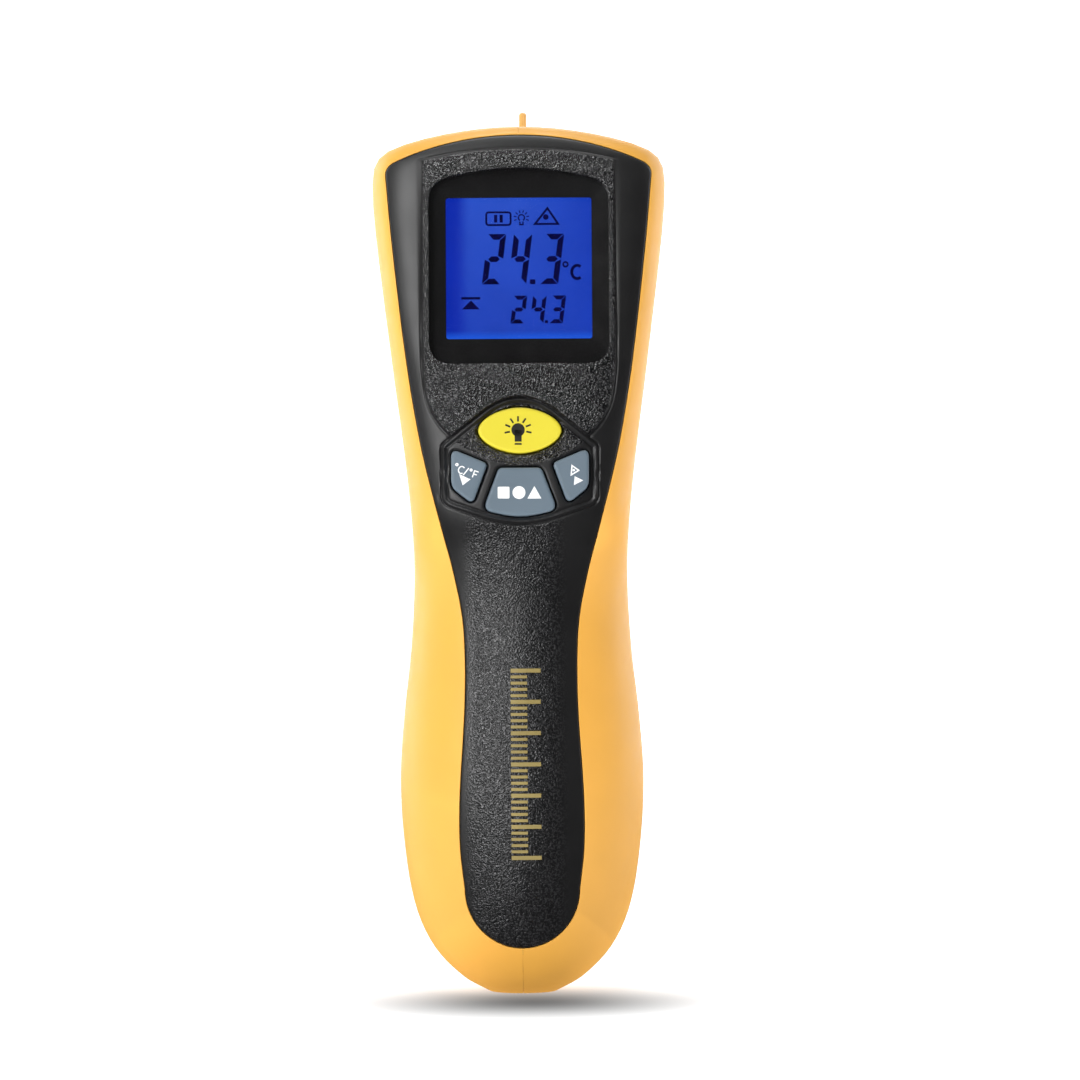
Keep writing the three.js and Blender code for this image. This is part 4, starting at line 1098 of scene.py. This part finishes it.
def make_segments():
    """What the display shows: two readings, the unit, and the pause, light, laser and highest signs."""
    signs = Signs()
    for number, x in zip("243", (-6.7, -2.0, 3.75)):
        digit(signs, number, x, 128.0, 3.3, 9.1, 1.02)
    signs.shape(panel((0.5, 0.43), 0.15, (2.45, 128.43), 2))
    for number, x in zip("243", (-1.6, 1.9, 5.4)):
        digit(signs, number, x, 120.9, 2.45, 5.02, 0.72)
    signs.shape(panel((0.27, 0.27), 0.08, (4.9, 121.17), 2))
    signs.arc((8.4, 131.55), 0.42, 0, 360, 0.3)
    signs.arc((10.5, 130.15), 1.2, 52, 308, 0.52, 0.82)
    signs.line([(5.2, 141.75), (2.95, 138.9), (7.1, 138.9)], 0.36, True)
    signs.disc((4.9, 140.15), 0.5)
    signs.line(panel((2.2, 1.15), 0.5, (-3.65, 139.9), 4), 0.34, True)
    for x in (-4.15, -3.15):
        signs.shape([(x - 0.28, 139.2), (x + 0.28, 139.2), (x + 0.28, 140.6), (x - 0.28, 140.6)])
    bulb = (0.5, 140.05)
    signs.arc(bulb, 0.55, -60, 240, 0.24)
    signs.line([(0.22, 139.35), (0.22, 138.8), (0.78, 138.8), (0.78, 139.35)], 0.24)
    rays_round(signs, bulb, (0.9, 1.4), np.linspace(-20, 200, 8), 0.18)
    signs.line([(-10.4, 125.5), (-7.0, 125.5)], 0.42)
    signs.shape([(-10.3, 123.5), (-7.1, 123.5), (-8.7, 125.1)])
    on_display = face_plane(LCD["depth"] - 0.06)
    signs.piece("display_segments", "housing", SEGMENT_INK, "lcd_blue", on_display)


def make_display():
    middle = (0, up_face(DISPLAY_Z))
    front = -LCD["depth"]
    lcd = plate("lcd", panel(LCD["half"], 0.5, middle), front - LCD["thick"], front, 0.1, FACE)
    dress(lcd, "lcd_glass", "housing", BLUE, "lcd_blue", "lcd_panel")
    front, outline = -WINDOW["depth"], panel(WINDOW["half"], 1.0, middle)
    window = smooth_shade(plate("window", outline, front - WINDOW["thick"], front, 0.12, FACE, both=True))
    dress(window, "display_cover", "housing", CLEAR, "window_clear", "display_window")
    make_segments()


# ---------------- handle scale


def make_handle_scale():
    """Gold printed scale down the back of the handle."""
    signs = Signs()
    left, right, top, bottom, marks = -1.9, 3.45, 58.6, 25.3, 31
    for i, z in enumerate(np.linspace(top, bottom, marks)):
        reach = right if i % 5 == 0 else left + (right - left) * 0.55
        thick = 0.36 if i % 5 == 0 else 0.26
        ends = np.linspace(left, reach, 5)
        for x0, x1 in zip(ends[:-1], ends[1:]):
            signs.shape([(x0, z - thick), (x1, z - thick), (x1, z + thick), (x0, z + thick)])

    def on_handle(x, z):
        return rear_y(x, z) - 0.05

    signs.piece("handle_scale", "housing", MARK_GOLD, "fascia_plastic", on_handle, 0.05)


# ---------------- trigger, barrel and battery door


def make_trigger():
    outline = rounded(TRIGGER_CORNERS, 10)
    trigger = plate("trigger", outline, -TRIGGER_HALF, TRIGGER_HALF, 1.1, ALONG_X, both=True, steps=5)
    cut(trigger, rod(TRIGGER_PIVOT, PIN_RADIUS + 0.15, -9, 9))
    for z in (84.6, 87.4, 90.2, 93.0):
        cut(trigger, rod((22.15 - 0.03 * (z - 88), z), 0.7, -3.4, 3.4, 16))
    smooth_shade(trigger)
    dress(trigger, "trigger_blade", "trigger_body", SATIN_BLACK, "bezel_plastic", "trigger")


def make_front_bezel():
    """Plate in the mouth of the barrel, with a grooved nozzle, a stepped throat and the laser's port."""
    bezel = keep(body("plug", 2.35, LAST - 4, LAST, 14, 3), box((-30, 30), (55, NOSE_Y - 0.4), (90, 165)))
    outer, groove = NOZZLE_RADIUS, NOZZLE_RADIUS - 0.5
    nozzle = [
        (0, 57), (outer, 57), (outer, 60.4), (groove, 60.8), (groove, 61.6), (outer, 62),
        (outer, NOZZLE_Y - 1), (outer - 0.3, NOZZLE_Y - 0.3), (outer - 1, NOZZLE_Y), (0, NOZZLE_Y),
    ]
    throat = [(0, 50), (8.6, 50), (8.6, 56.5)]
    for step in range(5):
        y = 57.6 + 1.8 * step
        radius = 8.6 + 0.28 * (y - 56.5)
        throat += [(radius, y), (radius + 0.45, y)]
    throat += [(11.5, NOZZLE_Y - 0.5), (11.9, NOZZLE_Y), (11.9, NOZZLE_Y + 1), (0, NOZZLE_Y + 1)]
    port = [(0, 50), (1.8, 50), (1.8, 57.8), (3.2, 57.8), (3.2, 59.3), (3.6, 59.7), (3.6, 63), (0, 63)]
    join(bezel, turned("nozzle", nozzle, 96, OPTICS_Z))
    cut(bezel, turned("throat", throat, 96, OPTICS_Z), turned("port", port, 48, LASER_Z))
    smooth_shade(bezel)
    dress(bezel, "front_bezel_moulding", "housing", SATIN_BLACK, "bezel_plastic", "front_bezel")


def make_optics():
    """Turned pieces in the barrel, finer than their CAD solids."""
    tube = [(4.9, 29), (10, 29), (10, 54.6), (8.3, 54.6), (8.3, 50.3), (6.4, 50.3), (6.4, 36), (4.9, 36)]
    lens = [(0, 50.6), (8, 50.6), (8, 51.6)]
    lens += [(8 * math.cos(a), 51.6 + math.sin(a)) for a in np.linspace(0.1, math.pi / 2, 10)]
    lens[-1] = (0, 52.6)
    ring = [(6.6, 52.9), (7.9, 52.9), (8.0, 53.0), (8.0, 54.1), (7.9, 54.2), (6.8, 54.2), (6.6, 54.0)]
    can = [(0, 29.3), (4.6, 29.3), (4.6, 30.1), (4.1, 30.1), (4.1, 33.3), (3.8, 33.6), (0, 33.6)]
    module = [(0, 37), (3.25, 37), (3.25, 53.4), (3.05, 53.6), (2.2, 53.6), (2.2, 54.6), (0, 54.6)]
    pane = [(0, 58.1), (2.8, 58.1), (2.9, 58.2), (2.9, 58.8), (2.8, 58.9), (0, 58.9)]
    pieces = [
        ("sensor_tube", tube, OPTICS_Z, ALUMINIUM, "aluminium"),
        ("ir_lens", lens, OPTICS_Z, LENS, "lens_dark"),
        ("lens_retaining_ring", ring, OPTICS_Z, SATIN_BLACK, "black_plastic"),
        ("thermopile_sensor", can, OPTICS_Z, STEEL, "steel"),
        ("laser_module", module, LASER_Z, BRASS, "brass"),
        ("laser_window", pane, LASER_Z, CLEAR, "window_clear"),
    ]
    for name, profile, z, material, slot in pieces:
        obj = smooth_shade(turned(name, profile, 64, z))
        dress(obj, name + "_turned", "housing", material, slot, name)


def make_battery_door():
    door = body("door", 0, 0, LAST - 8)
    cut(door, body("inside", WALL, 0.6, LAST - 8, 10, 2))
    keep(door, prism(rounded(DOOR_CORNERS), 0, AHEAD, ALONG_Y))
    y, z = DOOR_HINGE
    cut(door, box((-30, 30), (0, 30), (-1, z)))
    for side in (-1, 1):
        edges = sorted((side * (LUG_FROM - 0.3), side * 20))
        cut(door, box(edges, (0, 30), (-1, z + KNUCKLE_RADIUS + 0.4)))
    join(door, rod(DOOR_HINGE, KNUCKLE_RADIUS, -KNUCKLE_HALF, KNUCKLE_HALF))
    join(door, box((-KNUCKLE_HALF, KNUCKLE_HALF), (y - 0.6, y + KNUCKLE_RADIUS), (z, z + 4)))
    cut(door, rod(DOOR_HINGE, PIN_RADIUS + 0.1, -10, 10))
    for i in range(5):
        cut(door, rod((14.75 - 0.02 * i, 60.5 - 1.5 * i), 0.45, -4.2, 4.2, 12))
    smooth_shade(door)
    dress(door, "battery_door_moulding", "battery_door_body", YELLOW, "shell_plastic", "battery_door")


CARRIED_OVER = {
    "white_plastic": WHITE, "black_rubber": RUBBER, "circuit_board": BOARD, "black_plastic": SATIN_BLACK,
    "steel": STEEL, "battery_jacket": JACKET, "lead_red": RED, "brass": BRASS, "aluminium": ALUMINIUM,
    "lens_dark": LENS, "window_clear": CLEAR, "shell_plastic": YELLOW, "fascia_plastic": SATIN_BLACK,
    "bezel_plastic": SATIN_BLACK, "lcd_blue": BLUE, "key_yellow": KEY_YELLOW, "key_grey": KEY_GREY,
}


def dress_carried_over_nodes():
    for row in frame["record"]["subparts"]:
        obj = frame["nodes"][row["node"]]
        obj.data.materials.clear()
        obj.data.materials.append(CARRIED_OVER[row["material_slot"]])


# ---------------- studio


MATT = {"Roughness": 0.9, "Specular IOR Level": 0.0, "Emission Strength": 1.0}
# Centre and half sizes of the oval shadow painted on the floor.
SHADOW_CENTRE, SHADOW_HALF = (0.002, -0.027), (1 / 21, 1 / 20)  # metres


def glowing_white():
    """Matt white that glows of itself."""
    material, tree, shader = new_material("studio_glow")
    base = tint(tree, noise(tree, 400.0), (0.9, 0.9, 0.9, 1), (0.93, 0.93, 0.93, 1))
    feed(tree, shader, {"Base Color": base, "Emission Color": (1, 1, 1, 1), **MATT})
    return material


def floor_white_with_painted_shadow():
    """The floor's white, with a soft oval shadow painted into its colour and glow just in front of the
    base.
    """
    material, tree, shader = new_material("studio_white")
    inputs = {0: position(tree), 1: (-SHADOW_CENTRE[0], -SHADOW_CENTRE[1], 0)}
    centred = node(tree, "ShaderNodeVectorMath", inputs, operation="ADD").outputs[0]
    inputs = {0: centred, 1: (1 / SHADOW_HALF[0], 1 / SHADOW_HALF[1], 0)}
    shares = node(tree, "ShaderNodeVectorMath", inputs, operation="MULTIPLY").outputs[0]
    away = node(tree, "ShaderNodeVectorMath", {0: shares}, operation="LENGTH").outputs["Value"]
    fade = spread(tree, away, 0, 1, 0, 1, interpolation_type="SMOOTHSTEP")
    # Colour and glow drop inside the oval: a painted shadow, not one cast by the lamps.
    feed(tree, shader, {
        "Base Color": blend(tree, fade, (0.1, 0.1, 0.1, 1), (0.42, 0.42, 0.42, 1)),
        "Emission Color": blend(tree, fade, (0.11, 0.11, 0.11, 1), (1, 1, 1, 1)),
        **MATT,
    })
    return material


def swept(name, profile, half, material):
    """Sheet that runs along X over a profile of (y, z) points."""
    points = [(x, y, z) for y, z in profile for x in (-half, half)]
    faces = [[2 * i, 2 * i + 1, 2 * i + 3, 2 * i + 2] for i in range(len(profile) - 1)]
    sheet = make_object(name, points, faces)
    sheet.data.materials.append(material)
    smooth_shade(sheet, 60)
    return sheet


def make_stage():
    """White floor that lets light through from below, a glowing sheet that only lights, and a dome that
    only cameras see."""
    far, radius, height, half = 700.0, 500.0, 2600.0, 3400.0
    turns = np.linspace(0, math.pi / 2, 17)
    bend_points = [(far + radius * math.sin(a), radius * (1 - math.cos(a))) for a in turns]
    floor = swept("studio_floor", [(-half, 0.0), (far, 0.0)], half, floor_white_with_painted_shadow())
    floor.visible_shadow = False
    floor.visible_glossy = False
    glow = glowing_white()
    backdrop = swept("studio_backdrop", [*bend_points, (far + radius, height)], half, glow)
    backdrop.visible_camera = False
    wide = circle(half, (0, 0), 48)
    rings = [at_height(wide, -10), at_height(wide, height), at_height(wide * 0.3, height + 1200)]
    dome = skin("studio_dome", rings)
    dome.data.materials.append(glow)
    for kind in ("diffuse", "glossy", "transmission", "shadow"):
        setattr(dome, "visible_" + kind, False)


def area_light(name, place, aim, size, watts):
    data = bpy.data.lights.new(name, "AREA")
    data.shape = "RECTANGLE"
    data.size, data.size_y = size
    data.energy = watts
    light = bpy.data.objects.new(name, data)
    light.location = place
    light.rotation_euler = (Vector(aim) - Vector(place)).to_track_quat("-Z", "Y").to_euler()
    bpy.context.scene.collection.objects.link(light)
    return light


def make_lights():
    """Soft box at the camera's left, weaker ones beyond the object on both sides, and one each above
    and below."""
    world = bpy.data.worlds.new("studio")
    world.use_nodes = True
    background = world.node_tree.nodes["Background"]
    background.inputs["Color"].default_value = (1, 1, 1, 1)
    background.inputs["Strength"].default_value = 0.05
    bpy.context.scene.world = world
    middle = (0, 0, 0.09)
    area_light("key_left", (-0.57, -0.88, 0.38), middle, (0.35, 0.9), 8.0)
    area_light("side_left", (-0.95, 0.5, 0.3), middle, (0.6, 0.9), 2.4)
    area_light("side_right", (0.9, 0.42, 0.3), middle, (0.6, 0.9), 2.0)
    area_light("top", (0, -0.05, 1.2), middle, (0.4, 0.4), 5.5)
    area_light("below", (0, -0.3, -0.6), middle, (0.8, 0.4), 5.6).visible_glossy = False


def make_camera():
    """Level camera straight behind the display, rolled by a third of a degree."""
    data = bpy.data.cameras.new("camera")
    camera = bpy.data.objects.new("camera", data)
    bpy.context.scene.collection.objects.link(camera)
    distance, frame_width = 0.95, 0.1944
    data.sensor_width = 36.0
    data.lens = data.sensor_width * distance / frame_width
    data.clip_start, data.clip_end = 0.05, 20.0
    aim = Vector((0.0035, -0.012, 0.0819))
    camera.location = aim + Vector((0, -distance, 0))
    camera.rotation_euler = (math.pi / 2, math.radians(0.35), 0)
    bpy.context.scene.camera = camera
    bpy.context.scene.view_settings.view_transform = "Standard"


dress_carried_over_nodes()
make_fascia()
WALLS = shell_walls()
make_shell(WALLS, -1)
make_shell(WALLS, 1)
bpy.data.objects.remove(WALLS)
make_screws()
for key_name, (key_shape, key_stem, key_material, key_slot) in KEYS.items():
    make_key(key_name, key_shape, key_stem, key_material, key_slot)
make_key_signs()
make_display()
make_handle_scale()
make_trigger()
make_front_bezel()
make_optics()
make_battery_door()
make_stage()
make_lights()
make_camera()
